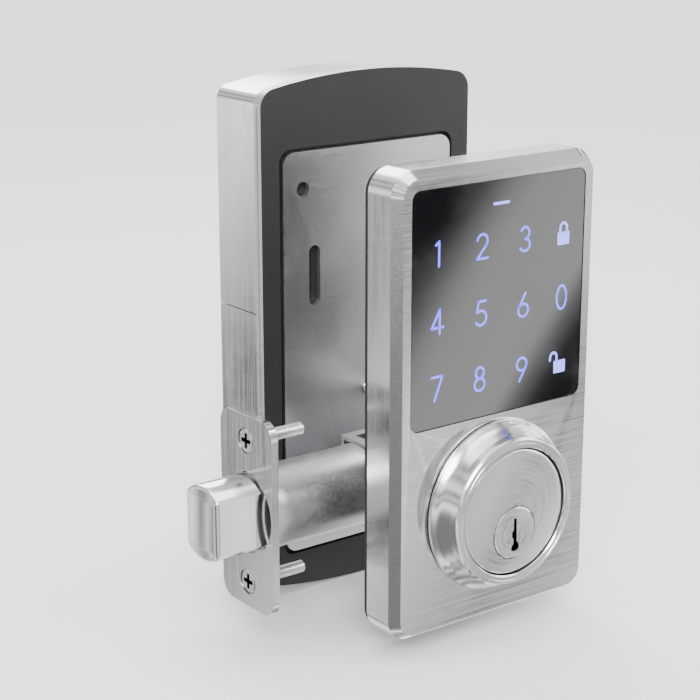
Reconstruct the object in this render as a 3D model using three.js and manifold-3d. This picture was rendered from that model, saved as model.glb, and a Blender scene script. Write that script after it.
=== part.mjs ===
// A keypad smart deadbolt as it sits in a door: touch keypad and key cylinder outside, bolt in the
// door's edge, motor, batteries and thumbturn inside. The door itself is not part of it.
// Millimetres. The origin is the centre of the door's cross bore on the door's outside face.
// -X runs to the door's edge, +Y through the door to the inside, +Z up.
import * as THREE from "three";
import { mergeVertices } from "three/addons/utils/BufferGeometryUtils.js";
import Module from "manifold-3d";

const wasm = await Module();
wasm.setup();

// ---------- driving dimensions ----------
const GAP = 0.3; // between faces that touch
const DOOR = 44.5; // door thickness
const TURN_Z = -6.2; // height of the key plug, tailpiece and thumbturn axis
const BACKSET = 60; // cross bore axis to the door's edge

const FACE = { w: 68, h: 128.8, r: 5.5 }; // exterior housing's front face
const SKIRT = { w: 72, h: 132.8, r: 7 }; // its footprint on the door
const EXT_MID_Z = 31.8;
const EXT_FRONT = -14.5;
const BEVEL_DEPTH = 3;
const GASKET_THICK = 1.5;
const EXT_WALL = 2;
const GLASS = { w: 62, h: 66, r: 2.6, z: 60, thick: 1.8 };

const COLLAR_FRONT = -23.5;
const COLLAR = { foot: 25, lip: 21.5, bore: 18.6 };
const CYLINDER_R = 18.2;
const PLUG = { flange: 7.6, body: 6.35, rear: 8.6 };

const INT = { w: 75, bottom: -35.4, seam: 47.6, top: 112, bow: 4, seamBow: 2, r: 3.5 };
const INT_FRONT = 68.5;
const INT_WALL = 1.8;
const PLATE_THICK = 1.8;
const FLOOR = { back: 46.6, front: 48.2 }; // the chassis floor

const THROW = 25.4; // full bolt travel, for a quarter turn
const REST_TURN = 53; // degrees the thumbturn stands from vertical, which is unlocked, to level, locked
const CAM_ARM = THROW / Math.SQRT2;

const LATCH_Y = DOOR / 2;
const TUBE_R = 11.9;
const THROUGH_BOLT_Z = 20;

const GEAR = { module: 1, hub: 36, idlerPinion: 12, idlerWheel: 30, motorPinion: 12 };
const CELL = { r: 7.1, length: 50.5, pitch: 14.6, y: 57.2, lowest: 56.6 };

// ---------- solids ----------
// A closed geometry as a manifold-3d solid.
function solidOf(geometry) {
  const bare = geometry.clone();
  for (const name of ["normal", "uv"]) bare.deleteAttribute(name);
  const merged = mergeVertices(bare, 1e-4);
  return new wasm.Manifold(
    new wasm.Mesh({
      numProp: 3,
      vertProperties: new Float32Array(merged.attributes.position.array),
      triVerts: new Uint32Array(merged.index.array),
    }),
  );
}

function geometryOf(solid) {
  const mesh = solid.getMesh();
  return new THREE.BufferGeometry()
    .setAttribute("position", new THREE.BufferAttribute(mesh.vertProperties, 3))
    .setIndex(new THREE.BufferAttribute(mesh.triVerts, 1));
}

function cut(body, ...tools) {
  return tools.reduce((left, tool) => left.subtract(tool), body);
}

function join(...bodies) {
  return bodies.reduce((left, body) => left.add(body));
}

const block = (x0, x1, y0, y1, z0, z1) =>
  solidOf(
    new THREE.BoxGeometry(x1 - x0, y1 - y0, z1 - z0).translate(
      (x0 + x1) / 2,
      (y0 + y1) / 2,
      (z0 + z1) / 2,
    ),
  );

// A round bar along an axis ("x", "y" or "z") from a to b, through the point (u, v) of the other two.
function rod(axis, radius, a, b, u = 0, v = 0, sides = 16) {
  const bar = new THREE.CylinderGeometry(radius, radius, b - a, sides);
  const middle = (a + b) / 2;
  if (axis === "x") bar.rotateZ(-Math.PI / 2).translate(middle, u, v);
  if (axis === "y") bar.translate(u, middle, v);
  if (axis === "z") bar.rotateX(Math.PI / 2).translate(u, v, middle);
  return solidOf(bar);
}

// A profile of [radius, y] pairs turned about the Y axis through (x, z).
function turned(profile, x = 0, z = 0, sides = 28) {
  const closed = profile[0][0] === 0 ? profile : [...profile, profile[0]];
  const area = closed.reduce((sum, [r, y], i) => {
    const [r2, y2] = closed[(i + 1) % closed.length];
    return sum + r * y2 - r2 * y;
  }, 0);
  const points = closed.map(([r, y]) => new THREE.Vector2(r, y));
  if (area < 0) points.reverse();
  return solidOf(new THREE.LatheGeometry(points, sides).translate(x, 0, z));
}

// A flat outline in X and Z, given thickness from y0 to y1.
function plate(shape, y0, y1, curveSegments = 3) {
  const made = new THREE.ExtrudeGeometry(shape, { depth: y1 - y0, bevelEnabled: false, curveSegments });
  return solidOf(made.rotateX(Math.PI / 2).translate(0, y1, 0));
}

// A skin over outlines of equal point counts, each {points: [Vector2], y}, closed at both ends.
function loft(sections) {
  const n = sections[0].points.length;
  const inOrder = sections[0].y > sections.at(-1).y ? sections : sections.toReversed();
  const position = inOrder.flatMap(({ points, y }) => points.flatMap((p) => [p.x, y, p.y]));
  const index = [];
  for (let s = 0; s + 1 < sections.length; s++)
    for (let i = 0; i < n; i++) {
      const a = s * n + i;
      const b = s * n + ((i + 1) % n);
      index.push(a, b, a + n, b, b + n, a + n);
    }
  const cap = THREE.ShapeUtils.triangulateShape(inOrder[0].points, []);
  const last = (sections.length - 1) * n;
  for (const [a, b, c] of cap) index.push(a, c, b, last + a, last + b, last + c);
  const skin = new THREE.BufferGeometry();
  skin.setAttribute("position", new THREE.Float32BufferAttribute(position, 3));
  return solidOf(skin.setIndex(index));
}

const place = (solid, x, y, z) => solid.translate([x, y, z]);

// Turned about the shared lock axis, in degrees, + carrying the top towards the door's edge.
const turnOnAxis = (solid, degrees) =>
  solid.translate([0, 0, -TURN_Z]).rotate([0, -degrees, 0]).translate([0, 0, TURN_Z]);

// The latch is drawn running to +X and set to the door's edge here.
const toEdge = (solid) => solid.mirror([1, 0, 0]);

// ---------- outlines ----------
function roundedRectangle(w, h, r, x = 0, z = 0) {
  const s = new THREE.Shape();
  const [a, b] = [w / 2 - r, h / 2 - r];
  s.absarc(x + a, z + b, r, 0, Math.PI / 2);
  s.absarc(x - a, z + b, r, Math.PI / 2, Math.PI);
  s.absarc(x - a, z - b, r, Math.PI, 1.5 * Math.PI);
  s.absarc(x + a, z - b, r, 1.5 * Math.PI, 2 * Math.PI);
  return s;
}

// A rectangle with rounded corners whose lower and upper edges bow out by the given amounts.
function bowedRectangle(w, z0, z1, r, bow0, bow1) {
  const s = new THREE.Shape();
  const half = w / 2;
  const share = 1 - (1 - (2 * r) / w) ** 2; // of the bow, reached where the corner ends
  const [e0, e1] = [bow0 * share, bow1 * share];
  s.moveTo(-half, z0 + r);
  s.quadraticCurveTo(-half, z0, -half + r, z0 - e0);
  s.quadraticCurveTo(0, z0 - 2 * bow0 + e0, half - r, z0 - e0);
  s.quadraticCurveTo(half, z0, half, z0 + r);
  s.lineTo(half, z1 - r);
  s.quadraticCurveTo(half, z1, half - r, z1 + e1);
  s.quadraticCurveTo(0, z1 + 2 * bow1 - e1, -half + r, z1 + e1);
  s.quadraticCurveTo(-half, z1, -half, z1 - r);
  return s;
}

const outlinePoints = (shape, divisions) => {
  const points = shape.getPoints(divisions);
  return points.filter((p, i) => p.distanceTo(points[(i + 1) % points.length]) > 1e-4);
};

const involute = (angle) => Math.tan(angle) - angle;

// A spur gear's outline: involute flanks at 20 degrees, one tooth centred at the phase angle.
function gearOutline(teeth, phase) {
  const m = GEAR.module;
  const pitch = (m * teeth) / 2;
  const base = pitch * Math.cos(Math.PI / 9);
  const tip = pitch + 0.85 * m;
  const root = pitch - 1.2 * m;
  const backlash = 0.3;
  const halfAtPitch = Math.PI / (2 * teeth) - backlash / (2 * pitch);
  const half = (r) =>
    halfAtPitch + involute(Math.PI / 9) - involute(Math.acos(Math.min(1, base / Math.max(r, base))));
  const radii = [root, tip];
  const shape = new THREE.Shape();
  for (let t = 0; t < teeth; t++) {
    const middle = phase + (2 * Math.PI * t) / teeth;
    const flank = [
      ...radii.map((r) => [r, middle - half(r)]),
      ...radii.toReversed().map((r) => [r, middle + half(r)]),
    ];
    flank.forEach(([r, a], i) => {
      const [x, z] = [r * Math.cos(a), r * Math.sin(a)];
      if (t === 0 && i === 0) shape.moveTo(x, z);
      else shape.lineTo(x, z);
    });
  }
  return shape;
}

// The phase that puts a gap of the driven gear on a tooth of the driving one, centres along `toDriven`.
function meshPhase(teeth, phase, drivenTeeth, toDriven) {
  const turnsPast = ((toDriven - phase) * teeth) / (2 * Math.PI);
  return toDriven + Math.PI - ((0.5 - turnsPast) * 2 * Math.PI) / drivenTeeth;
}

// ---------- the assembly ----------
const lock = new THREE.Group();
const FINISH = {
  nickel: { color: 0xc2c2c0, roughness: 0.32, metalness: 1 },
  polishedNickel: { color: 0xd6d6d6, roughness: 0.15, metalness: 1 },
  glass: { color: 0x0b0c0e, roughness: 0.05, metalness: 0 },
  diffuser: { color: 0xe8eaf4, roughness: 0.6, metalness: 0 },
  board: { color: 0x15502c, roughness: 0.5, metalness: 0 },
  blackPlastic: { color: 0x17181a, roughness: 0.55, metalness: 0 },
  connector: { color: 0xe9e4d4, roughness: 0.5, metalness: 0 },
  rubber: { color: 0x1b1b1c, roughness: 0.85, metalness: 0 },
  zinc: { color: 0x9b9c9b, roughness: 0.5, metalness: 1 },
  steel: { color: 0xa9abad, roughness: 0.35, metalness: 1 },
  darkSteel: { color: 0x2a2b2d, roughness: 0.4, metalness: 1 },
  brass: { color: 0xb9923f, roughness: 0.3, metalness: 1 },
  chassis: { color: 0x232426, roughness: 0.6, metalness: 0 },
  gear: { color: 0xe4e2da, roughness: 0.45, metalness: 0 },
  cell: { color: 0x31353b, roughness: 0.35, metalness: 0.2 },
  cable: { color: 0x1d1d1f, roughness: 0.6, metalness: 0 },
  button: { color: 0xb8352c, roughness: 0.45, metalness: 0 },
};
const materials = Object.fromEntries(
  Object.entries(FINISH).map(([name, look]) => [name, new THREE.MeshStandardMaterial(look)]),
);

function add(name, solid, finish) {
  const mesh = new THREE.Mesh(geometryOf(solid), materials[finish]);
  mesh.name = name;
  lock.add(mesh);
}

// ---------- outside: housing, keypad ----------
const extSection = ({ w, h, r }, y) => ({
  points: outlinePoints(roundedRectangle(w, h, r, 0, EXT_MID_Z), 3),
  y,
});
const HOUSING_BACK = -GASKET_THICK - GAP;
const LEDGE_FRONT = EXT_FRONT + GLASS.thick + 0.5;
const WINDOW = { w: GLASS.w - 6, h: GLASS.h - 6, r: 1.5 };
const COLLAR_HOLE = 22;

function exteriorHousing() {
  const skin = loft([
    extSection(SKIRT, HOUSING_BACK),
    extSection(SKIRT, EXT_FRONT + BEVEL_DEPTH),
    extSection(FACE, EXT_FRONT),
  ]);
  const inside = plate(
    roundedRectangle(SKIRT.w - 2 * EXT_WALL, SKIRT.h - 2 * EXT_WALL, SKIRT.r - EXT_WALL, 0, EXT_MID_Z),
    LEDGE_FRONT + EXT_WALL,
    1,
  );
  const glassSeat = plate(
    roundedRectangle(GLASS.w + 0.6, GLASS.h + 0.6, GLASS.r + 0.3, 0, GLASS.z),
    EXT_FRONT - 1,
    LEDGE_FRONT,
  );
  const window = plate(roundedRectangle(WINDOW.w, WINDOW.h, WINDOW.r, 0, GLASS.z), EXT_FRONT - 1, 1);
  return cut(skin, inside, glassSeat, window, rod("y", COLLAR_HOLE, EXT_FRONT - 1, 1, 0, 0, 36));
}
add("exterior_housing", exteriorHousing(), "nickel");

const glassFront = EXT_FRONT + 0.15;
add(
  "touch_glass",
  plate(roundedRectangle(GLASS.w, GLASS.h, GLASS.r, 0, GLASS.z), glassFront, glassFront + GLASS.thick),
  "glass",
);

const guideFront = glassFront + GLASS.thick + GAP;
const guideBack = LEDGE_FRONT + EXT_WALL;
add(
  "keypad_light_guide",
  plate(roundedRectangle(WINDOW.w - 0.6, WINDOW.h - 0.6, 1.2, 0, GLASS.z), guideFront, guideBack, 3),
  "diffuser",
);

const BOARD_THICK = 1.6;
const keyBoardFront = guideBack + GAP;
const keyBoardBack = keyBoardFront + BOARD_THICK;
add(
  "keypad_board",
  join(
    plate(roundedRectangle(WINDOW.w + 5, WINDOW.h + 4, 2, 0, GLASS.z), keyBoardFront, keyBoardBack, 2),
    block(-18, -8, keyBoardBack - 0.1, keyBoardBack + 1.4, 62, 72), // the touch chip
  ),
  "board",
);
add("keypad_buzzer", rod("y", 6, keyBoardBack + GAP, keyBoardBack + 3.4, 10, 74, 24), "blackPlastic");
const SOCKET_X = 19;
add(
  "keypad_cable_socket",
  block(SOCKET_X - 4, SOCKET_X + 4, keyBoardBack + GAP, -4.2, 29.2, 34),
  "connector",
);

// ---------- outside: back plate, gasket ----------
const CABLE_HOLE = { x: 17.7, z: -17.1, r: 2.7 };
const BIBLE = { half: 4.6, top: 13.4, shell: 9.2 };
const CYLINDER_POST = { x: 13, z: 4, r: 3.5 };
const BACK_PLATE = { back: HOUSING_BACK, front: HOUSING_BACK - 1.7 };

function exteriorBackPlate() {
  const sheet = plate(
    roundedRectangle(SKIRT.w - 2 * EXT_WALL - 1, SKIRT.h - 2 * EXT_WALL - 1, 4, 0, EXT_MID_Z),
    BACK_PLATE.front,
    BACK_PLATE.back,
    3,
  );
  const posts = [-1, 1].map((side) =>
    rod("y", 4.2, BACK_PLATE.front, 12, 0, side * THROUGH_BOLT_Z, 20),
  );
  const threads = [-1, 1].map((side) => rod("y", 2.3, -10, 13, 0, side * THROUGH_BOLT_Z, 16));
  const screwHoles = [-1, 1].map((side) =>
    rod("y", 1.9, -10, 1, side * CYLINDER_POST.x, CYLINDER_POST.z, 12),
  );
  return cut(
    join(sheet, ...posts),
    ...threads,
    ...screwHoles,
    rod("y", BIBLE.shell + 0.5, -10, 1, 0, TURN_Z, 28),
    block(-BIBLE.half - 0.5, BIBLE.half + 0.5, -10, 1, TURN_Z, BIBLE.top + 0.5),
    rod("y", CABLE_HOLE.r, -10, 1, CABLE_HOLE.x, CABLE_HOLE.z, 16),
  );
}
add("exterior_back_plate", exteriorBackPlate(), "zinc");

const GASKET_HOLE = 26.5;
add(
  "exterior_gasket",
  cut(
    plate(roundedRectangle(SKIRT.w - 1, SKIRT.h - 1, SKIRT.r - 0.5, 0, EXT_MID_Z), -GASKET_THICK, 0),
    rod("y", GASKET_HOLE, -3, 1, 0, 0, 32),
  ),
  "rubber",
);

// ---------- outside: key cylinder ----------
const COLLAR_SEAT = EXT_FRONT - GAP;
add(
  "cylinder_collar",
  turned(
    [
      [COLLAR.bore, COLLAR_FRONT + 0.4],
      [COLLAR.bore + 0.4, COLLAR_FRONT],
      [COLLAR.lip - 0.8, COLLAR_FRONT],
      [COLLAR.lip, COLLAR_FRONT + 0.8],
      [COLLAR.foot - 0.4, COLLAR_SEAT - 0.9],
      [COLLAR.foot, COLLAR_SEAT],
      [COLLAR_HOLE - 0.4, COLLAR_SEAT],
      [COLLAR_HOLE - 0.4, -8],
      [COLLAR.bore, -8],
    ],
    0,
    0,
    40,
  ),
  "nickel",
);

const CYLINDER = { front: COLLAR_FRONT + 0.5, step: -15, rear: 8 };
const PIN = { count: 5, first: -17.4, pitch: 3.97, r: 1.45 };
const pinY = (i) => PIN.first + i * PIN.pitch;
const SHEAR_Z = TURN_Z + PLUG.body;
const STRIP_THICK = 0.8;

function cylinderBody() {
  const { front, step, rear } = CYLINDER;
  const face = turned(
    [
      [0, front],
      [CYLINDER_R - 0.5, front],
      [CYLINDER_R, front + 0.5],
      [CYLINDER_R, step],
      [0, step],
    ],
    0,
    0,
    36,
  );
  const shell = join(
    rod("y", BIBLE.shell, step, rear, 0, TURN_Z, 28),
    block(-BIBLE.half, BIBLE.half, step, rear, TURN_Z, BIBLE.top),
  );
  const posts = [-1, 1].map((side) =>
    cut(
      rod("y", CYLINDER_POST.r, step - 1, -3.8, side * CYLINDER_POST.x, CYLINDER_POST.z, 16),
      rod("y", 1.6, -13, -3, side * CYLINDER_POST.x, CYLINDER_POST.z, 12),
    ),
  );
  const plugBore = turned(
    [
      [0, front - 1],
      [PLUG.flange + 0.2, front - 1],
      [PLUG.flange + 0.2, front + 3.2],
      [PLUG.body + 0.15, front + 3.2],
      [PLUG.body + 0.15, rear + 1],
      [0, rear + 1],
    ],
    0,
    TURN_Z,
    24,
  );
  const chambers = Array.from({ length: PIN.count }, (_, i) =>
    rod("z", PIN.r + 0.2, TURN_Z, BIBLE.top + 1, 0, pinY(i), 12),
  );
  const stripSeat = block(-3, 3, -19.7, rear - 6.2, BIBLE.top - STRIP_THICK - GAP, BIBLE.top + 1);
  return cut(join(face, shell, ...posts), plugBore, stripSeat, ...chambers);
}
add("cylinder_body", cylinderBody(), "nickel");

// A warded keyway: a narrow blade slot, a side groove and a wider foot, seen from the front.
const KEYWAY = new THREE.Shape(
  [
    [-0.6, 4.4],
    [-0.6, 0.6],
    [-1.3, 0.1],
    [-1.3, -1.2],
    [-0.6, -1.8],
    [-0.6, -3.4],
    [-1.3, -4.1],
    [-1.3, -5.2],
    [1.4, -5.2],
    [1.4, -3.2],
    [0.7, -2.6],
    [0.7, -0.6],
    [0.6, 4.4],
  ].map(([x, z]) => new THREE.Vector2(x, z + TURN_Z)),
);

function keyPlug() {
  const front = CYLINDER.front - 0.2;
  const body = turned(
    [
      [0, front],
      [PLUG.flange - 0.3, front],
      [PLUG.flange, front + 0.3],
      [PLUG.flange, CYLINDER.front + 2.9],
      [PLUG.body, CYLINDER.front + 2.9],
      [PLUG.body, PLUG.rear],
      [0, PLUG.rear],
    ],
    0,
    TURN_Z,
    24,
  );
  const chambers = Array.from({ length: PIN.count }, (_, i) =>
    rod("z", PIN.r + 0.2, TURN_Z - 0.5, SHEAR_Z + 2, 0, pinY(i), 12),
  );
  return cut(body, plate(KEYWAY, front - 1, 3), ...chambers);
}
add("key_plug", keyPlug(), "polishedNickel");

for (let i = 0; i < PIN.count; i++) {
  const cutDepth = [1.6, 0.6, 2.1, 1.1, 1.9][i];
  const keyPin = new THREE.LatheGeometry(
    [
      [0, -cutDepth - 3.1],
      [0.5, -cutDepth - 3.1],
      [PIN.r, -cutDepth - 2.3],
      [PIN.r, -0.35],
      [0, -0.15],
    ].map(([r, y]) => new THREE.Vector2(r, y)),
    12,
  );
  add(`key_pin_${i + 1}`, place(solidOf(keyPin.rotateX(Math.PI / 2)), 0, pinY(i), SHEAR_Z), "brass");
  add(
    `driver_pin_${i + 1}`,
    rod("z", PIN.r, SHEAR_Z + 0.3, SHEAR_Z + 5.3, 0, pinY(i), 12),
    "steel",
  );
}
add(
  "pin_chamber_strip",
  block(-2.7, 2.7, -19.4, CYLINDER.rear - 6.5, BIBLE.top - STRIP_THICK, BIBLE.top),
  "brass",
);

for (const [name, side] of [["left", -1], ["right", 1]])
  add(
    `cylinder_screw_${name}`,
    turned(
      [
        [0, -11],
        [1.3, -11],
        [1.3, BACK_PLATE.back + GAP],
        [2.8, BACK_PLATE.back + GAP],
        [2.4, 0.4],
        [0, 0.4],
      ],
      side * CYLINDER_POST.x,
      CYLINDER_POST.z,
      16,
    ),
    "steel",
  );

// ---------- the drive through the door ----------
const TAIL = { half: 3.2, thick: 1.3 };
add(
  "plug_cap",
  cut(
    rod("y", 8.4, PLUG.rear + GAP, PLUG.rear + 4.3, 0, TURN_Z, 28),
    rod("y", 4.4, PLUG.rear + 1.6, PLUG.rear + 5, 0, TURN_Z, 24),
  ),
  "brass",
);
add(
  "tailpiece",
  turnOnAxis(
    block(-TAIL.thick, TAIL.thick, PLUG.rear + 2, 53.6, TURN_Z - TAIL.half, TURN_Z + TAIL.half),
    REST_TURN,
  ),
  "steel",
);

// ---------- bolt in the door's edge ----------
const CASE = { x0: -19.5, x1: 21, half: 8, z: 12.7, wall: 1.2 };
const CAM_HUB = 5.9;
const restThrow = (REST_TURN / 90) * THROW;
const camAngle = REST_TURN - 45;
const boltShift = restThrow - THROW / 2; // of the fork from the cam's axis
const FACEPLATE = { thick: 2.2, w: 25.4, h: 57, screwZ: 21 };
const BOLT = { r: 11, flat: 7.75, length: 33 };
const boltNose = BACKSET + restThrow;
const boltRear = boltNose - BOLT.length;

// Outline in Y and Z, given length along X from x0 to x1.
function alongX(shape, x0, x1, curveSegments = 6) {
  const made = new THREE.ExtrudeGeometry(shape, { depth: x1 - x0, bevelEnabled: false, curveSegments });
  made.rotateX(Math.PI / 2).rotateZ(Math.PI / 2);
  return solidOf(made.translate(x0, LATCH_Y, 0));
}

const faceplateBack = BACKSET - FACEPLATE.thick;

function latchFaceplate() {
  const sheet = alongX(roundedRectangle(FACEPLATE.w, FACEPLATE.h, 5), faceplateBack, BACKSET, 2);
  const screwHoles = [-1, 1].map((side) => countersunk(side * FACEPLATE.screwZ, 0.25, 5));
  return cut(sheet, rod("x", 12, 50, 70, LATCH_Y, 0, 28), ...screwHoles);
}
add("latch_faceplate", toEdge(latchFaceplate()), "nickel");

const TUBE_BORE = TUBE_R - 0.6;

const latchTube = cut(
  rod("x", TUBE_R, CASE.x1 + GAP, faceplateBack - GAP, LATCH_Y, 0, 28),
  rod("x", TUBE_BORE, 0, 70, LATCH_Y, 0, 28),
);
add("latch_tube", toEdge(latchTube), "steel");

function latchCase() {
  const { x0, x1, half, z, wall } = CASE;
  const inner = half - wall;
  return cut(
    block(x0, x1, LATCH_Y - half, LATCH_Y + half, -z, z),
    block(x0 + wall, x1 + 1, LATCH_Y - inner, LATCH_Y + inner, wall - z, z - wall),
    block(x0 + wall, x1 - 3, LATCH_Y - 3.4, LATCH_Y + 4.9, 0, z + 1), // the cam sweeps out here
    rod("y", CAM_HUB + 0.3, 0, DOOR, 0, TURN_Z, 28),
  );
}
add("latch_case", toEdge(latchCase()), "steel");

function deadbolt() {
  const round = rod("x", BOLT.r, boltRear, boltNose, LATCH_Y, 0, 32);
  const flats = block(boltRear, boltNose, LATCH_Y - BOLT.flat, LATCH_Y + BOLT.flat, -BOLT.r, BOLT.r);
  const tailSlot = block(boltRear - 1, boltRear + 9, LATCH_Y - 1.9, LATCH_Y + 1.9, -9.5, 9.5);
  const rivetHole = rod("y", 2.3, LATCH_Y - 10, LATCH_Y + 10, boltRear + 5, 4, 16);
  const insertHole = rod("x", 3.3, boltRear + 11, boltNose - 4, LATCH_Y, 0, 20);
  const insertMouth = rod("x", 3.3, boltRear + 8, boltRear + 12, LATCH_Y, 0, 20);
  return cut(round.intersect(flats), tailSlot, rivetHole, insertHole, insertMouth);
}
add("deadbolt", toEdge(deadbolt()), "nickel");
add(
  "hardened_insert",
  toEdge(rod("x", 2.9, boltRear + 11, boltNose - 4.4, LATCH_Y, 0, 20)),
  "darkSteel",
);
add(
  "bolt_rivet",
  toEdge(rod("y", 1.95, LATCH_Y - BOLT.flat, LATCH_Y + BOLT.flat, boltRear + 5, 4, 16)),
  "steel",
);

// The bolt's tail: a plate with a fork at its rear that the cam's pin works in.
const FORK = { half: 2.5, arm: 2.4, floor: 3.4, top: 13.4 };
function boltTail() {
  const x0 = boltShift - FORK.half - FORK.arm;
  const sheet = join(
    block(x0, boltRear + 8.5, LATCH_Y - 1.5, LATCH_Y + 1.5, 1.2, 8),
    block(x0, boltShift + FORK.half + FORK.arm, LATCH_Y - 1.5, LATCH_Y + 1.5, 1.2, FORK.top),
  );
  return cut(
    sheet,
    block(boltShift - FORK.half, boltShift + FORK.half, 0, DOOR, FORK.floor, 20),
    rod("y", 2.3, 0, DOOR, boltRear + 5, 4, 16),
  );
}
add("bolt_tail", toEdge(boltTail()), "steel");

function latchCam() {
  const hub = rod("y", CAM_HUB, LATCH_Y - CASE.half - 0.4, LATCH_Y + CASE.half + 0.4, 0, TURN_Z, 28);
  const armShape = new THREE.Shape();
  armShape.absarc(0, TURN_Z + CAM_ARM, 2.3, 0, Math.PI);
  armShape.lineTo(-4.8, TURN_Z);
  armShape.lineTo(4.8, TURN_Z);
  const arm = plate(armShape, LATCH_Y + 2, LATCH_Y + 4.2, 5);
  const pin = rod("y", 1.6, LATCH_Y - 3, LATCH_Y + 3, 0, TURN_Z + CAM_ARM, 16);
  const slot = block(-1.65, 1.65, 0, DOOR, TURN_Z - 3.6, TURN_Z + 3.6);
  return cut(turnOnAxis(join(hub, arm, pin), camAngle), turnOnAxis(slot, REST_TURN));
}
add("latch_cam", latchCam(), "darkSteel");

// A countersunk screw's outline turned about X, grown all round by the given amount.
function countersunk(z, grow, front) {
  const profile = [
    [0, -20 - grow],
    [1.8 + grow, -16],
    [1.8 + grow, -2.6],
    [3.6 + grow, -0.8],
    [3.6 + grow, front],
    [0, front],
  ].map(([r, y]) => new THREE.Vector2(r, y));
  const body = new THREE.LatheGeometry(profile, 16);
  return solidOf(body.rotateZ(-Math.PI / 2).translate(BACKSET, LATCH_Y, z));
}

for (const [name, side] of [["upper", 1], ["lower", -1]]) {
  const z = side * FACEPLATE.screwZ;
  const cross = join(
    block(BACKSET - 1.6, 70, LATCH_Y - 2, LATCH_Y + 2, z - 0.4, z + 0.4),
    block(BACKSET - 1.6, 70, LATCH_Y - 0.4, LATCH_Y + 0.4, z - 2, z + 2),
  );
  add(`faceplate_screw_${name}`, toEdge(cut(countersunk(z, 0, -0.1), cross)), "steel");
}

// ---------- inside: mounting plate, through bolts, chassis ----------
const MOUNT_PLATE = { w: 62, z0: -27, z1: 95 };
const plateFront = DOOR + PLATE_THICK;
function mountingPlate() {
  const mid = (MOUNT_PLATE.z0 + MOUNT_PLATE.z1) / 2;
  const sheet = plate(
    roundedRectangle(MOUNT_PLATE.w, MOUNT_PLATE.z1 - MOUNT_PLATE.z0, 4, 0, mid),
    DOOR,
    plateFront,
    2,
  );
  return cut(
    sheet,
    rod("y", 9.6, 40, 50, 0, TURN_Z, 28),
    rod("y", CABLE_HOLE.r, 40, 50, CABLE_HOLE.x - 0.3, CABLE_HOLE.z - 0.3, 16),
    ...[-1, 1].map((side) => rod("y", 2.4, 40, 50, 0, side * THROUGH_BOLT_Z, 16)),
    ...[-1, 1].map((side) => rod("y", 2.2, 40, 50, side * 24, 84, 12)),
  );
}
add("interior_mounting_plate", mountingPlate(), "steel");

for (const [name, side] of [["upper", 1], ["lower", -1]])
  add(
    `through_bolt_${name}`,
    cut(
      turned(
        [
          [0, 2],
          [1.95, 2.6],
          [1.95, plateFront + GAP],
          [4.2, plateFront + GAP],
          [3.8, plateFront + 2.3],
          [0, plateFront + 2.7],
        ],
        0,
        side * THROUGH_BOLT_Z,
        18,
      ),
      block(-2.2, 2.2, plateFront + 1.4, 55, side * THROUGH_BOLT_Z - 0.45, side * THROUGH_BOLT_Z + 0.45),
    ),
    "steel",
  );

const LIP = 0.8; // the chassis's rim stands this far proud of the covers
const SCREW_Z = INT.bottom + 1.2;
const IDLER_ANGLE = THREE.MathUtils.degToRad(112);
const MOTOR_ANGLE = THREE.MathUtils.degToRad(15);
const hubToIdler = (GEAR.module * (GEAR.hub + GEAR.idlerPinion)) / 2;
const idlerToMotor = (GEAR.module * (GEAR.idlerWheel + GEAR.motorPinion)) / 2;
const idler = {
  x: hubToIdler * Math.cos(IDLER_ANGLE),
  z: TURN_Z + hubToIdler * Math.sin(IDLER_ANGLE),
};
const motor = {
  x: idler.x + idlerToMotor * Math.cos(MOTOR_ANGLE),
  z: idler.z + idlerToMotor * Math.sin(MOTOR_ANGLE),
};

function interiorChassis() {
  const rim = plate(
    bowedRectangle(INT.w + 2 * LIP, INT.bottom - LIP, INT.top + LIP, INT.r + LIP, INT.bow, INT.bow),
    DOOR + GAP,
    FLOOR.front,
    6,
  );
  const plateWell = plate(
    roundedRectangle(MOUNT_PLATE.w + 2, MOUNT_PLATE.z1 - MOUNT_PLATE.z0 + 2, 4, 0, 34),
    DOOR - 1,
    FLOOR.back,
    2,
  );
  const screwBoss = rod("y", 3, FLOOR.front - 1, 61, 0, SCREW_Z, 16);
  const boardPosts = [-26, 40].map((z) => rod("y", 1.8, FLOOR.front - 1, 49.7, 32, z, 12));
  return cut(
    join(cut(rim, plateWell), screwBoss, ...boardPosts),
    rod("y", 8.5, 40, 50, 0, TURN_Z, 28),
    rod("y", CABLE_HOLE.r, 40, 50, CABLE_HOLE.x - 0.3, CABLE_HOLE.z - 0.3, 16),
    ...[-1, 1].map((side) => rod("y", 5, 40, 50, 0, side * THROUGH_BOLT_Z, 20)),
    rod("y", 1.7, 50, 62, 0, SCREW_Z, 12),
    rod("y", 1.15, 40, 50, idler.x, idler.z, 12),
  );
}
add("interior_chassis", interiorChassis(), "chassis");

// ---------- inside: gear train and motor ----------
const HUB = { y0: 49.6, y1: 52.4 };
const WHEEL = { y0: 52.8, y1: 55 };
const hubPhase = 0;
const idlerPhase = meshPhase(GEAR.hub, hubPhase, GEAR.idlerPinion, IDLER_ANGLE);
const motorPhase = meshPhase(GEAR.idlerWheel, idlerPhase, GEAR.motorPinion, MOTOR_ANGLE);

function hubGear() {
  const teeth = place(plate(gearOutline(GEAR.hub, hubPhase), HUB.y0, HUB.y1), 0, 0, TURN_Z);
  const boss = turned(
    [
      [0, 46.9],
      [8.1, 46.9],
      [8.1, HUB.y0 + 0.5],
      [7, HUB.y0 + 0.6],
      [7, 61],
      [0, 61],
    ],
    0,
    TURN_Z,
    28,
  );
  const tailSlot = block(-1.65, 1.65, 40, 54.2, TURN_Z - 3.6, TURN_Z + 3.6);
  const shaftSocket = block(-3.4, 3.4, 54, 62, TURN_Z - 3.4, TURN_Z + 3.4);
  return cut(join(teeth, boss), turnOnAxis(join(tailSlot, shaftSocket), REST_TURN));
}
add("hub_gear", hubGear(), "gear");

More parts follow.
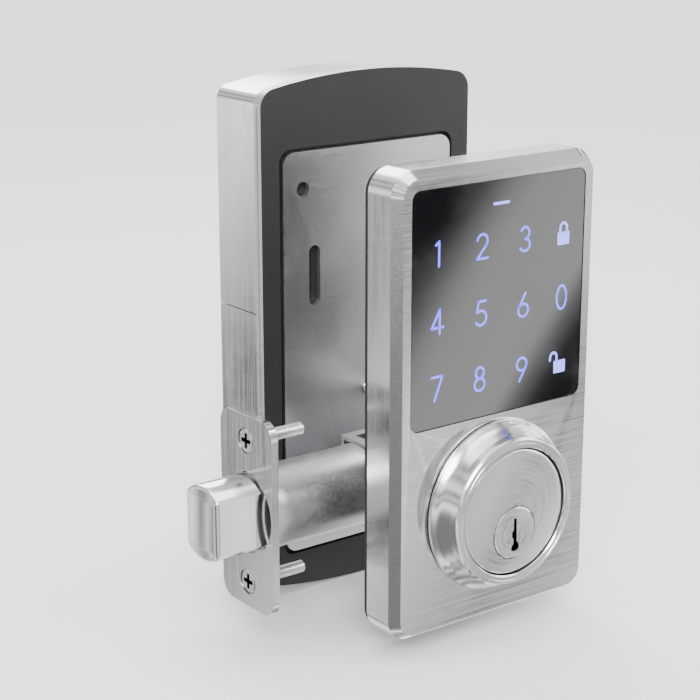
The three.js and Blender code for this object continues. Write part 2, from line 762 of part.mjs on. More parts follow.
function idlerGear() {
  const pinion = plate(gearOutline(GEAR.idlerPinion, idlerPhase), HUB.y0 - 0.2, WHEEL.y0 + 0.5);
  const wheel = plate(gearOutline(GEAR.idlerWheel, idlerPhase), WHEEL.y0, WHEEL.y1);
  return place(cut(join(pinion, wheel), rod("y", 1.3, 40, 60, 0, 0, 16)), idler.x, 0, idler.z);
}
add("idler_gear", idlerGear(), "gear");
add("idler_axle", rod("y", 1, FLOOR.back + GAP, 57.4, idler.x, idler.z, 16), "steel");

const MOTOR = { r: 8.8, y0: 57.8, y1: 66.4 };
const pinionTeeth = plate(gearOutline(GEAR.motorPinion, motorPhase), WHEEL.y0 - 0.4, WHEEL.y1 + 0.4);
add(
  "motor_pinion",
  join(
    place(pinionTeeth, motor.x, 0, motor.z),
    rod("y", 1.1, WHEEL.y0 - 0.5, MOTOR.y0 + 1.4, motor.x, motor.z, 12),
  ),
  "brass",
);
add(
  "motor",
  cut(
    rod("y", MOTOR.r, MOTOR.y0, MOTOR.y1, motor.x, motor.z, 28),
    rod("y", 1.5, MOTOR.y0 - 1, MOTOR.y0 + 2, motor.x, motor.z, 12),
  ),
  "steel",
);

// The plate that carries the motor and the idler's free end, on three legs from the chassis floor.
function gearBracket() {
  const shape = roundedRectangle(48, 15, 3, -3, 24.6);
  const sheet = plate(shape, 56.1, 57.5, 3);
  const foot = block(14.6, 20.4, 56.1, 57.5, 9.4, 20);
  const legs = [
    [-23.6, 29.6],
    [17.6, 30.2],
    [17.5, 11.8],
  ].map(([x, z]) => rod("y", 1.7, FLOOR.front + GAP, 56.6, x, z, 12));
  const ear = rod("y", 3.4, 56.1, 57.5, idler.x, idler.z, 16);
  return cut(
    join(sheet, ear, foot, ...legs),
    rod("y", 3.2, 50, 60, motor.x, motor.z, 16),
    rod("y", 1.25, 50, 60, idler.x, idler.z, 12),
  );
}
add("gear_bracket", gearBracket(), "steel");

// ---------- inside: control board ----------
const CONTROL = { x0: 21, x1: 35, z0: -31, z1: 44, y0: 50, y1: 51.6 };
const BUTTON = { x: 32.4, z: 55 };
function controlBoard() {
  const main = block(CONTROL.x0, CONTROL.x1, CONTROL.y0, CONTROL.y1, CONTROL.z0, CONTROL.z1);
  const tab = block(30, CONTROL.x1, CONTROL.y0, CONTROL.y1, CONTROL.z1 - 1, 60);
  const positionSwitch = block(21.4, 27.4, CONTROL.y1 - 0.1, 57.6, -4, 8.6);
  const chip = block(23, 32, CONTROL.y1 - 0.1, 53.1, 14, 23);
  const { x, z } = BUTTON;
  const buttonCase = block(x - 2.9, x + 2.6, CONTROL.y1 - 0.1, 54.6, z - 3, z + 3);
  const buttonBore = rod("y", 2.1, CONTROL.y1, 60, x, z, 20);
  return join(main, tab, positionSwitch, chip, cut(buttonCase, buttonBore));
}
add("control_board", controlBoard(), "board");
const PLUG_X = 24.9;
add("control_cable_socket", block(PLUG_X, PLUG_X + 6, CONTROL.y1 + GAP, 56, -29.4, -22.6), "connector");
add(
  "setting_button",
  rod("y", 1.8, CONTROL.y1 + 1.2, CONTROL.y1 + 5, BUTTON.x, BUTTON.z, 20),
  "button",
);

// ---------- inside: batteries ----------
const HOLDER = { half: 29, z0: 48.9, z1: 108.4, floor: 49.7, top: 57 };
const cellZ = (i) => CELL.lowest + i * CELL.pitch;
function batteryHolder() {
  const tray = cut(
    block(-HOLDER.half, HOLDER.half, FLOOR.front + GAP, HOLDER.top, HOLDER.z0, HOLDER.z1),
    block(-HOLDER.half + 1.2, HOLDER.half - 1.2, HOLDER.floor - 0.2, 70, HOLDER.z0 + 0.4, HOLDER.z1 - 0.4),
  );
  const ribs = [0, 1, 2].map((i) => {
    const z = cellZ(i) + CELL.pitch / 2;
    return block(-HOLDER.half, HOLDER.half, FLOOR.front + GAP, 51.6, z - 0.5, z + 0.5);
  });
  return join(tray, ...ribs);
}
add("battery_holder", batteryHolder(), "chassis");

for (let i = 0; i < 4; i++) {
  const half = CELL.length / 2;
  const flip = i % 2 ? -1 : 1;
  const profile = [
    [0, -half],
    [CELL.r - 0.6, -half],
    [CELL.r, -half + 0.6],
    [CELL.r, half - 2],
    [CELL.r - 0.8, half - 1.3],
    [2.75, half - 1.3],
    [2.75, half],
    [0, half],
  ].map(([r, y]) => new THREE.Vector2(r, y));
  const cell = new THREE.LatheGeometry(profile, 16);
  cell.rotateZ((-flip * Math.PI) / 2).translate(0, CELL.y, cellZ(i));
  add(`battery_cell_${i + 1}`, solidOf(cell), "cell");
}

// ---------- inside: covers, thumbturn ----------
const coverBack = FLOOR.front + GAP;
const SEAM_GAP = 0.3;
// A cover shell open at the back, between two heights, each edge with its own bow.
function coverShell(z0, z1, bow0, bow1, corner, openBelow) {
  const outer = plate(bowedRectangle(INT.w, z0, z1, corner, bow0, bow1), coverBack, INT_FRONT, 6);
  const inner = plate(
    bowedRectangle(
      INT.w - 2 * INT_WALL,
      z0 + (openBelow ? -6 : INT_WALL),
      z1 - INT_WALL,
      corner - 1,
      bow0,
      bow1,
    ),
    coverBack - 1,
    INT_FRONT - INT_WALL,
    6,
  );
  return cut(outer, inner);
}

function batteryCover() {
  return coverShell(INT.seam + SEAM_GAP, INT.top, INT.seamBow, INT.bow, 2.2, true);
}
add("battery_cover", batteryCover(), "nickel");

const THUMB_HOLE = 8;
function interiorHousing() {
  // The upper edge dips in the middle to follow the battery cover's lower edge.
  const shell = coverShell(INT.bottom, INT.seam, INT.bow, -INT.seamBow, 2.2, false);
  const screwPocket = rod("y", 4.2, 64, 70, 0, SCREW_Z, 24);
  const pocketWall = rod("y", 5.2, 61.3, 67.5, 0, SCREW_Z, 24).intersect(
    plate(bowedRectangle(INT.w - 1, INT.bottom + 0.5, INT.seam, 2, INT.bow, 0), 50, 68, 6),
  );
  return cut(
    join(shell, pocketWall),
    block(28.6, INT.w / 2 - INT_WALL, 45 - 3, 54, 43, 49), // for the control board's tab
    screwPocket,
    rod("y", 2, 60, 70, 0, SCREW_Z, 16),
    rod("y", THUMB_HOLE, 60, 70, 0, TURN_Z, 32),
  );
}
add("interior_housing", interiorHousing(), "nickel");

add(
  "cover_screw",
  cut(
    turned(
      [
        [0, 52],
        [1.4, 52],
        [1.4, 64 + GAP],
        [3.4, 64 + GAP],
        [3.4, 66.2],
        [2.8, 67],
        [0, 67],
      ],
      0,
      SCREW_Z,
      20,
    ),
    block(-1.15, 1.15, 65.2, 70, SCREW_Z - 1.15, SCREW_Z + 1.15),
  ),
  "darkSteel",
);

const TURN = { disc: 15, front: 71.6, top: 82.5, long: 20 };
// The grip's outline at a height: narrow in the middle, flared to its two ends.
function gripOutline(long, middle, end) {
  const steps = 6;
  const side = (sign) =>
    Array.from({ length: steps + 1 }, (_, i) => {
      const s = (2 * i) / steps - 1;
      return new THREE.Vector2(sign * (middle + (end - middle) * s * s), sign * s * long);
    });
  return [...side(1), ...side(-1)].map((p) => new THREE.Vector2(p.x, p.y + TURN_Z));
}

function thumbturn() {
  const disc = turned(
    [
      [0, INT_FRONT + GAP],
      [TURN.disc, INT_FRONT + GAP],
      [TURN.disc, TURN.front - 0.6],
      [TURN.disc - 0.6, TURN.front],
      [0, TURN.front],
    ],
    0,
    TURN_Z,
    32,
  );
  const grip = loft([
    { points: gripOutline(TURN.long - 3, 10, 6.5), y: TURN.front - 0.5 },
    { points: gripOutline(TURN.long - 1.5, 5.4, 6), y: TURN.front + 2.6 },
    { points: gripOutline(TURN.long, 3.9, 5.6), y: TURN.front + 6.4 },
    { points: gripOutline(TURN.long, 3.6, 5.6), y: TURN.top - 0.8 },
    { points: gripOutline(TURN.long - 0.8, 2.9, 4.8), y: TURN.top },
  ]);
  const neck = rod("y", THUMB_HOLE - 0.4, 64.6, INT_FRONT + 1, 0, TURN_Z, 28);
  const shaft = block(-3, 3, 54.6, 65, TURN_Z - 3, TURN_Z + 3);
  return turnOnAxis(join(disc, grip, neck, shaft), REST_TURN);
}
add("thumbturn", thumbturn(), "polishedNickel");
const clipFront = INT_FRONT - INT_WALL - GAP;
add(
  "thumbturn_washer",
  cut(
    rod("y", 11, clipFront - 1.4, clipFront, 0, TURN_Z, 28),
    rod("y", THUMB_HOLE - 0.1, 60, 70, 0, TURN_Z, 28),
  ),
  "steel",
);

// ---------- the cable from keypad to control board ----------
const CABLE_ROUTE = [
  [19, -6.1, 28.9],
  [19.2, -6.1, 22],
  [20.4, -6.1, 10],
  [20.7, -6.1, -3],
  [19.7, -5.8, -11.5],
  [18.1, -4.2, -16.3],
  [17.4, -0.8, -17.4],
  [17.4, 6, -17.4],
  [17.4, 22, -17.4],
  [17.4, 40, -17.4],
  [17.4, 47.6, -17.4],
  [17.6, 51.4, -18.5],
  [18.9, 53.7, -21.4],
  [21.2, 54, -25.2],
  [24.4, 54, -26],
];
const CABLE_R = 1.2;
function cable() {
  const route = new THREE.CatmullRomCurve3(CABLE_ROUTE.map((p) => new THREE.Vector3(...p)));
  const section = new THREE.Shape().absarc(0, 0, CABLE_R, 0, 2 * Math.PI);
  return solidOf(
    new THREE.ExtrudeGeometry(section, {
      steps: 30,
      curveSegments: 6,
      bevelEnabled: false,
      extrudePath: route,
    }),
  );
}
add("keypad_cable", cable(), "cable");

export default lock;
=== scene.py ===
"""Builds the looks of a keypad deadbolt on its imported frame: its pieces, their finish and the stage."""

import math

import bmesh
import bpy
import numpy as np
from bpy.props import FloatProperty, FloatVectorProperty, PointerProperty
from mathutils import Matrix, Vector
from mathutils.geometry import tessellate_polygon


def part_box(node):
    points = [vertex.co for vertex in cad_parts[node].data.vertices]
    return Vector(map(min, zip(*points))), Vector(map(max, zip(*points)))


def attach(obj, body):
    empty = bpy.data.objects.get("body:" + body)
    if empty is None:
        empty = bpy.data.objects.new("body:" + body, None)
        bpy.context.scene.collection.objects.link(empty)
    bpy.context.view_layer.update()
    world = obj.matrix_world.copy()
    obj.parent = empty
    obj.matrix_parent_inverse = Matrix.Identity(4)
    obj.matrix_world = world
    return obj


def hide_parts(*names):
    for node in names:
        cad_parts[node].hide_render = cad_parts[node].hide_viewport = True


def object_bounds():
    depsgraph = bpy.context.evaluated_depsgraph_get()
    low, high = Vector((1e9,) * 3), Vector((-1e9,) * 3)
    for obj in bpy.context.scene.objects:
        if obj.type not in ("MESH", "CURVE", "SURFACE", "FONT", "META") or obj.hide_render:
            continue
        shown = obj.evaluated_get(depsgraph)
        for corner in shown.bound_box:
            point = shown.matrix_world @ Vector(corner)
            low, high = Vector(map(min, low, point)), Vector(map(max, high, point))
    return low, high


bl_info = {
    "name": "Keypad Deadbolt",
    "version": (1, 0, 0),
    "blender": (4, 5, 0),
    "location": "3D View > Sidebar > Deadbolt",
    "description": "Adds the pieces of a keypad deadbolt and the studio they stand in",
    "category": "Add Mesh",
}

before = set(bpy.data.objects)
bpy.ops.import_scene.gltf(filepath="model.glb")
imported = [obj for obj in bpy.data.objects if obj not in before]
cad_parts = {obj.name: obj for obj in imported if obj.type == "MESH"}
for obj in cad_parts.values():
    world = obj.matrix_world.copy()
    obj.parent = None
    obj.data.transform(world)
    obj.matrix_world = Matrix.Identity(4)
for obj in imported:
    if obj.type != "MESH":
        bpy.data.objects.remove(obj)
CAD_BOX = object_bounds()
MM = 0.001
FRAME_BODY = "lock_frame"
AXIS_Z = -6.2  # height of the cylinder plug's and the thumbturn's axis
COVER_SCREW_Z = -34.2
THROUGH_BOLT_Z = 20  # the two through bolts stand this far above and below the bore's centre


def node_box(node):
    """A CAD node's lowest and highest corner in millimetres."""
    low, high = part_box(node)
    return np.array(low) / MM, np.array(high) / MM


# ---------- settings ----------
def length(name, description, default):
    return FloatProperty(
        name=name, description=description, default=default * MM, min=0, unit="LENGTH", subtype="DISTANCE"
    )


def strength(name, description, default):
    return FloatProperty(name=name, description=description, default=default, min=0)


def turn(name, description, degrees):
    return FloatProperty(
        name=name, description=description, default=math.radians(degrees), subtype="ANGLE"
    )


def colour(name, description, default):
    return FloatVectorProperty(
        name=name, description=description, default=default, size=3, min=0, max=1, subtype="COLOR"
    )


class DEADBOLT_PG_finish(bpy.types.PropertyGroup):
    """Colours of the lock's finishes."""

    nickel: colour("Nickel", "Colour of the satin nickel plate", (0.70, 0.70, 0.69))
    bright: colour("Bright nickel", "Colour of the thumbturn's and the plug's plate", (0.90, 0.90, 0.89))
    panel: colour("Touch panel", "Colour of the glossy touch panel", (0.004, 0.004, 0.005))
    digits: colour("Digits", "Colour of the lit digits", (0.13, 0.12, 1.0))
    icons: colour("Icons", "Colour of the lit padlocks", (0.26, 0.30, 1.0))
    digit_light: strength("Digit light", "Strength of the digits", 1.25)


class DEADBOLT_PG_sizes(bpy.types.PropertyGroup):
    """Sizes of the details that the frame leaves open."""

    digit_height: length("Digit height", "Height of a digit on the touch panel", 7.3)
    digit_stroke: length("Digit stroke", "Width of a digit's stroke", 0.72)
    edge_round: length("Edge rounding", "Rounding of the inside housing's long front edges", 1.7)
    seam_round: length("Seam rounding", "Rounding where the cover meets the housing", 0.3)
    spring_wire: length("Contact spring wire", "Wire thickness of a battery contact spring", 0.7)


class DEADBOLT_PG_stage(bpy.types.PropertyGroup):
    """The studio and its camera."""

    floor: colour("Floor", "Colour of the floor", (0.86, 0.86, 0.86))
    backdrop: colour("Backdrop", "Colour behind the lock", (0.86, 0.86, 0.86))
    room_light: strength("Room light", "Strength of the room's glow", 2.4)
    azimuth: turn("Azimuth", "Camera's turn about the lock", -37)
    elevation: turn("Elevation", "Camera's height angle", 16)
    distance: length("Distance", "Camera to the lock's middle", 520)
    lens: FloatProperty(name="Lens", description="Focal length in millimetres", default=92, min=10)


def finish():
    return bpy.context.scene.deadbolt_finish


def sizes():
    return bpy.context.scene.deadbolt_sizes


# ---------- surfaces, all in millimetres ----------
def grid_faces(rows, columns, around=True):
    """Quads over a grid of rows by columns, the columns joined end to end when around is set."""
    r, c = np.meshgrid(np.arange(rows - 1), np.arange(columns if around else columns - 1), indexing="ij")
    d = (c + 1) % columns
    quads = np.stack([r * columns + c, r * columns + d, (r + 1) * columns + d, (r + 1) * columns + c], -1)
    return quads.reshape(-1, 4).tolist()


def skin(rings):
    """The surface over a stack of closed rings, an array of ring by point by XYZ."""
    rings = np.asarray(rings, float)
    return rings.reshape(-1, 3), grid_faces(len(rings), rings.shape[1])


def cap(ring, holes=()):
    """The flat surface inside a ring and outside its holes."""
    loops = [np.asarray(ring, float), *[np.asarray(h, float) for h in holes]]
    points = np.concatenate(loops)
    triangles = tessellate_polygon([[Vector(p) for p in loop] for loop in loops])
    return points, [list(t) for t in triangles]


def lift(outline, y):
    """An outline in X and Z, set at the depth y, which may be one number or one for each point."""
    return np.stack([outline[:, 0], np.broadcast_to(y, len(outline)), outline[:, 1]], -1)


def corner_arcs(corners, radii, steps=8):
    """A polygon with each corner replaced by an arc: the arc's centre lies on the corner's bisector,
    radius / sin(half the corner's angle) from it."""
    corners = np.asarray(corners, float)
    before = np.roll(corners, 1, 0) - corners
    after = np.roll(corners, -1, 0) - corners
    before /= np.linalg.norm(before, axis=1, keepdims=True)
    after /= np.linalg.norm(after, axis=1, keepdims=True)
    middle = before + after
    middle /= np.linalg.norm(middle, axis=1, keepdims=True)
    half = np.arccos(np.clip((before * middle).sum(1), -1, 1))
    radii = np.broadcast_to(np.asarray(radii, float), len(corners))
    centre = corners + middle * (radii / np.sin(half))[:, None]
    sweep = np.pi / 2 - half
    turn = np.sign(before[:, 0] * after[:, 1] - before[:, 1] * after[:, 0])
    a = np.linspace(-1, 1, steps + 1)[None] * (sweep * -turn)[:, None]
    out = -middle
    x = out[:, :1] * np.cos(a) - out[:, 1:] * np.sin(a)
    z = out[:, :1] * np.sin(a) + out[:, 1:] * np.cos(a)
    arcs = centre[:, None] + radii[:, None, None] * np.stack([x, z], -1)
    return arcs.reshape(-1, 2)


def rounded_rectangle(w, h, r, x=0.0, z=0.0, steps=8):
    corners = np.array([[w, h], [-w, h], [-w, -h], [w, -h]]) / 2 + [x, z]
    return corner_arcs(corners, r, steps)


def circle(r, x=0.0, z=0.0, sides=64):
    a = np.arange(sides) * 2 * np.pi / sides
    return np.stack([x + r * np.cos(a), z + r * np.sin(a)], -1)


def resampled(outline, count):
    """The outline again with points at equal steps of its length."""
    closed = np.vstack([outline, outline[:1]])
    run = np.concatenate([[0], np.cumsum(np.linalg.norm(np.diff(closed, axis=0), axis=1))])
    at = np.linspace(0, run[-1], count, endpoint=False)
    return np.stack([np.interp(at, run, closed[:, 0]), np.interp(at, run, closed[:, 1])], -1)


def bowed_rectangle(w, z0, z1, r, bow0, bow1):
    """A rectangle with rounded corners whose lower edge is z0 - bow0 (1 - (2x/w)^2) and whose upper
    edge is z1 + bow1 (1 - (2x/w)^2)."""
    steps, across = 8, 28
    plain = rounded_rectangle(w, z1 - z0, r, 0, (z0 + z1) / 2, steps)
    flat = np.linspace(1, -1, across + 2)[1:-1] * (w / 2 - r)
    top = np.stack([flat, np.full(across, z1)], -1)
    bottom = np.stack([-flat, np.full(across, z0)], -1)
    q = steps + 1
    points = np.vstack([plain[:q], top, plain[q : 3 * q], bottom, plain[3 * q :]])
    x, z = points.T
    share = np.clip((z - z0) / (z1 - z0), 0, 1)
    bow = 1 - (2 * x / w) ** 2
    near_top = np.clip((share - 0.5) * 8, -1, 1)
    move = np.where(near_top > 0, bow1 * bow * near_top, -bow0 * bow * -near_top)
    return np.stack([x, z + move], -1)


def inward(outline):
    """The unit normal at each point of an outline, pointing to its inside: the tangent, turned a
    quarter turn to the side the shape lies on."""
    along = np.roll(outline, -1, 0) - np.roll(outline, 1, 0)
    along /= np.linalg.norm(along, axis=1, keepdims=True)
    x, z = outline.T
    area = (x * np.roll(z, -1) - np.roll(x, -1) * z).sum()
    side = 1 if area > 0 else -1
    return np.stack([-along[:, 1], along[:, 0]], -1) * side


def tray(outline, edge, wall, back, front, holes=(), hole_walls=None, ceiling=None):
    """A shell open at the back. Its wall is the outline, its front edge follows (inset, depth) pairs,
    times each point's own rounding when that is given, and its inside is the outline moved in."""
    profile, rounding = edge
    rounding = np.broadcast_to(np.asarray(rounding, float), len(outline))
    toward = 1 if back > front else -1
    normal = inward(outline)
    rings = [lift(outline, back)]
    for inset, depth in profile:
        ring = outline + normal * (inset * rounding)[:, None]
        rings.append(lift(ring, front + toward * depth * rounding))
    inner = outline + normal * wall
    parts = [skin(rings)]
    parts.append(cap(rings[-1], [lift(h, front) for h in holes]))
    inside = front + toward * wall if ceiling is None else ceiling
    parts.append(skin([lift(inner, inside), lift(inner, back), lift(outline, back)]))
    through = holes if hole_walls is None else [w[-1][0] for w in hole_walls]
    parts.append(cap(lift(inner, inside), [lift(h, inside) for h in through]))
    for n, hole in enumerate(holes):
        steps = [(hole, front)] + (hole_walls[n] if hole_walls else [(hole, inside)])
        parts.append(skin([lift(o, y) for o, y in steps]))
    return parts


def turned(profile, x=0.0, z=0.0, sides=96):
    """A profile of (radius, y) points carried round the Y axis through (x, z); points on the axis
    close it there."""
    profile = np.asarray(profile, float)
    a = np.arange(sides) * 2 * np.pi / sides
    r, y = profile[:, :1], profile[:, 1:]
    rings = np.stack([x + r * np.cos(a), np.broadcast_to(y, (len(r), sides)), z + r * np.sin(a)], -1)
    return skin(rings)


def soft_profile(points, radii):
    """A profile whose inner corners are replaced by arcs of the given radii."""
    points = np.asarray(points, float)
    made = [points[:1]]
    for before, at, after, r in zip(points[:-2], points[1:-1], points[2:], radii):
        if r == 0:
            made.append(at[None])
            continue
        u, v = (before - at), (after - at)
        lu, lv = np.linalg.norm(u), np.linalg.norm(v)
        u, v = u / lu, v / lv
        angle = np.arccos(np.clip(u @ v, -1, 1))
        reach = min(r / np.tan(angle / 2), 0.49 * lu, 0.49 * lv)
        t = np.linspace(0, 1, 6)[:, None]
        start, end = at + u * reach, at + v * reach
        made.append((1 - t) ** 2 * start + 2 * t * (1 - t) * at + t**2 * end)
    made.append(points[-1:])
    return np.concatenate(made)


def bar(axis, r, a, b, u=0.0, v=0.0, sides=32, chamfer=0.15):
    """A round bar along an axis from a to b through (u, v), its ends chamfered."""
    ends = [(0, a), (r - chamfer, a), (r, a + chamfer), (r, b - chamfer), (r - chamfer, b), (0, b)]
    points, faces = turned(ends, 0, 0, sides)
    x, y, z = points.T
    order = {"x": [y, x + u, z + v], "y": [x + u, y, z + v], "z": [x + u, z + v, y]}[axis]
    return np.stack(order, -1), faces


def plate(outline, y0, y1, holes=()):
    """A flat outline with holes, given thickness from y0 to y1."""
    loops = [outline, *holes]
    parts = [cap(lift(outline, y), [lift(h, y) for h in holes]) for y in (y0, y1)]
    return parts + [skin([lift(o, y0), lift(o, y1)]) for o in loops]


def box(low, high):
    """A block between two corners."""
    x0, y0, z0 = low
    x1, y1, z1 = high
    return plate(np.array([[x0, z0], [x1, z0], [x1, z1], [x0, z1]], float), y0, y1)


def tube(path, r, sides):
    """A round section carried along a path, its two cross directions turned with the path's tangent
    so that they never twist about it."""
    path = np.asarray(path, float)
    along = np.gradient(path, axis=0)
    along /= np.linalg.norm(along, axis=1, keepdims=True)
    first = np.cross(along[0], [0, 0, 1.0])
    if np.linalg.norm(first) < 0.1:
        first = np.cross(along[0], [1.0, 0, 0])
    frames = [first / np.linalg.norm(first)]
    for t in along[1:]:
        n = frames[-1] - t * (frames[-1] @ t)
        frames.append(n / np.linalg.norm(n))
    n = np.array(frames)
    b = np.cross(along, n)
    a = np.arange(sides) * 2 * np.pi / sides
    r = np.broadcast_to(r, len(path))[:, None, None]
    rings = path[:, None] + r * (n[:, None] * np.cos(a)[:, None] + b[:, None] * np.sin(a)[:, None])
    first_point = np.repeat(path[:1, None], sides, 1)
    last_point = np.repeat(path[-1:, None], sides, 1)
    return skin(np.concatenate([first_point, rings, last_point]))


def smooth_path(points, count):
    """A Catmull-Rom curve through the points."""
    p = np.asarray(points, float)
    p = np.vstack([2 * p[0] - p[1], p, 2 * p[-1] - p[-2]])
    at = np.linspace(0, len(p) - 3, count)
    i = np.minimum(at.astype(int), len(p) - 4)
    t = (at - i)[:, None]
    a, b, c, d = p[i], p[i + 1], p[i + 2], p[i + 3]
    return 0.5 * (2 * b + (c - a) * t + (2 * a - 5 * b + 4 * c - d) * t**2 + (3 * b - a - 3 * c + d) * t**3)


def tilted(part, degrees):
    """Points turned about the lock's axis, + carrying the top to -X."""
    points, faces = part
    a = math.radians(degrees)
    x, y, z = points[:, 0], points[:, 1], points[:, 2] - AXIS_Z
    across = x * math.cos(a) - z * math.sin(a)
    up = x * math.sin(a) + z * math.cos(a) + AXIS_Z
    return np.stack([across, y, up], -1), faces


# ---------- pieces ----------
def flat_list(parts):
    """Lists of parts within a list, laid out in one list."""
    return [p for group in parts for p in (flat_list(group) if isinstance(group, list) else [group])]


def piece(
    name,
    parts,
    coats,
    body=FRAME_BODY,
    stands_for=(),
    round_by=0.0,
    angle=30,
    walls=None,
    weigh=None,
):
    """A named object from parts in millimetres, riding on a body. A part may name its own coat by
    number. With walls set, a face of the first coat that doesn't look along Y takes the second.
    With weigh, each sharp edge takes its own share of the rounding."""
    parts = flat_list(parts)
    points, faces, coat_of, base = [], [], [], 0
    for vertices, quads, *own in parts:
        points.append(np.asarray(vertices, float))
        faces += [[base + i for i in f] for f in quads]
        coat_of += [own[0] if own else 0] * len(quads)
        base += len(vertices)
    mesh = bpy.data.meshes.new(name)
    mesh.from_pydata((np.concatenate(points) * MM).tolist(), [], faces)
    mesh.polygons.foreach_set("material_index", np.array(coat_of, np.int32))
    work = bmesh.new()
    work.from_mesh(mesh)
    bmesh.ops.remove_doubles(work, verts=work.verts, dist=2e-6)
    bmesh.ops.dissolve_degenerate(work, edges=work.edges, dist=1e-7)
    bmesh.ops.recalc_face_normals(work, faces=work.faces)
    work.to_mesh(mesh)
    work.free()
    made = bpy.data.objects.new(name, mesh)
    bpy.context.scene.collection.objects.link(made)
    for coat in coats if isinstance(coats, (list, tuple)) else [coats]:
        mesh.materials.append(MATERIALS[coat])
    mesh.shade_smooth()
    if walls is not None:
        normals = np.zeros(len(mesh.polygons) * 3)
        mesh.polygons.foreach_get("normal", normals)
        index = np.zeros(len(mesh.polygons), np.int32)
        mesh.polygons.foreach_get("material_index", index)
        upright = np.abs(normals.reshape(-1, 3)[:, 1]) < walls
        mesh.polygons.foreach_set("material_index", np.where((index == 0) & upright, 1, index))
    if round_by:
        edge = made.modifiers.new("Rounded edges", "BEVEL")
        edge.width = round_by * MM
        edge.segments = 2
        edge.limit_method = "WEIGHT" if weigh else "ANGLE"
        edge.angle_limit = math.radians(angle)
        if weigh:
            edge.segments = 4
            share_out(mesh, weigh, angle)
        edge.harden_normals = True
        edge.use_clamp_overlap = True
    else:
        mesh.set_sharp_from_angle(angle=math.radians(angle))
    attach(made, body)
    if stands_for:
        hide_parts(*([stands_for] if isinstance(stands_for, str) else stands_for))
    return made


def share_out(mesh, weigh, angle):
    """Writes each edge's share of the rounding: nothing where the faces beside it are nearly flat."""
    work = bmesh.new()
    work.from_mesh(mesh)
    ends = np.array([[v.co[:] for v in e.verts] for e in work.edges]) / MM
    bends = np.array([e.calc_face_angle(0.0) for e in work.edges])
    work.free()
    along = ends[:, 1] - ends[:, 0]
    along /= np.maximum(np.linalg.norm(along, axis=1, keepdims=True), 1e-9)
    share = np.where(bends > math.radians(angle), weigh(ends.mean(1), along), 0.0)
    layer = mesh.attributes.new("bevel_weight_edge", "FLOAT", "EDGE")
    layer.data.foreach_set("value", share.astype(np.float32))


def coat_node(node, coat):
    """Gives a CAD node its finish."""
    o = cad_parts[node]
    o.data.materials.clear()
    o.data.materials.append(MATERIALS[coat])


# ---------- finishes ----------
MATERIALS = {}


def node(tree, kind, settings=None, **inputs):
    """A shader node with its settings and inputs; an input is a value or another node's output."""
    made = tree.nodes.new(kind)
    for key, value in (settings or {}).items():
        setattr(made, key, value)
    for key, value in inputs.items():
        socket = made.inputs[int(key[1:])] if key[0] == "_" else made.inputs[key.replace("_", " ")]
        if isinstance(value, bpy.types.NodeSocket):
            tree.links.new(value, socket)
        else:
            socket.default_value = value
    return made


def math_node(tree, operation, *values):
    named = {f"_{i}": v for i, v in enumerate(values)}
    return node(tree, "ShaderNodeMath", {"operation": operation}, **named).outputs[0]


def between(tree, value, low, high, to_low=0.0, to_high=1.0):
    made = node(
        tree,
        "ShaderNodeMapRange",
        {"clamp": True},
        Value=value,
        From_Min=low,
        From_Max=high,
        To_Min=to_low,
        To_Max=to_high,
    )
    return made.outputs[0]


def blend_colour(tree, share, first, second):
    made = node(tree, "ShaderNodeMix", {"data_type": "RGBA"}, _0=share, _6=first, _7=second)
    return made.outputs[2]


def new_group(name, inputs, outputs):
    """An empty shader group with named float or vector inputs and float outputs."""
    group = bpy.data.node_groups.new(name, "ShaderNodeTree")
    for label, kind, default in inputs:
        socket = group.interface.new_socket(name=label, in_out="INPUT", socket_type=kind)
        if default is not None:
            socket.default_value = default
    for label in outputs:
        group.interface.new_socket(name=label, in_out="OUTPUT", socket_type="NodeSocketFloat")
    return group, group.nodes.new("NodeGroupInput").outputs, group.nodes.new("NodeGroupOutput").inputs


def make_grain_group():
    """Brush lines: coarse and fine noise over a stretched vector give a height and a tone."""
    group, given, out = new_group(
        "Brush grain",
        [("Vector", "NodeSocketVector", None), ("Fine", "NodeSocketFloat", 3.1)],
        ["Height", "Tone"],
    )
    coarse = node(group, "ShaderNodeTexNoise", Vector=given["Vector"], Scale=1.0, Detail=3.0, Roughness=0.6)
    fine = node(group, "ShaderNodeTexNoise", Vector=given["Vector"], Scale=given["Fine"], Detail=1.0)
    height = math_node(group, "MULTIPLY_ADD", fine.outputs[0], 0.55, coarse.outputs[0])
    group.links.new(height, out["Height"])
    group.links.new(between(group, coarse.outputs[0], 0.3, 0.7), out["Tone"])
    return group


def make_handling_group():
    """Where hands and cloths have been: broad noise broken by finer noise."""
    group, given, out = new_group(
        "Handling marks",
        [("Vector", "NodeSocketVector", None), ("Scale", "NodeSocketFloat", 40.0)],
        ["Mask"],
    )
    broad = node(group, "ShaderNodeTexNoise", Vector=given["Vector"], Scale=given["Scale"], Detail=2.0)
    finer = math_node(group, "MULTIPLY", given["Scale"], 6.3)
    vector = given["Vector"]
    broken = node(group, "ShaderNodeTexNoise", Vector=vector, Scale=finer, Detail=3.0, Roughness=0.7)
    first = between(group, broad.outputs[0], 0.42, 0.66)
    second = between(group, broken.outputs[0], 0.35, 0.7, 0.35, 1.0)
    group.links.new(math_node(group, "MULTIPLY", first, second), out["Mask"])
    return group


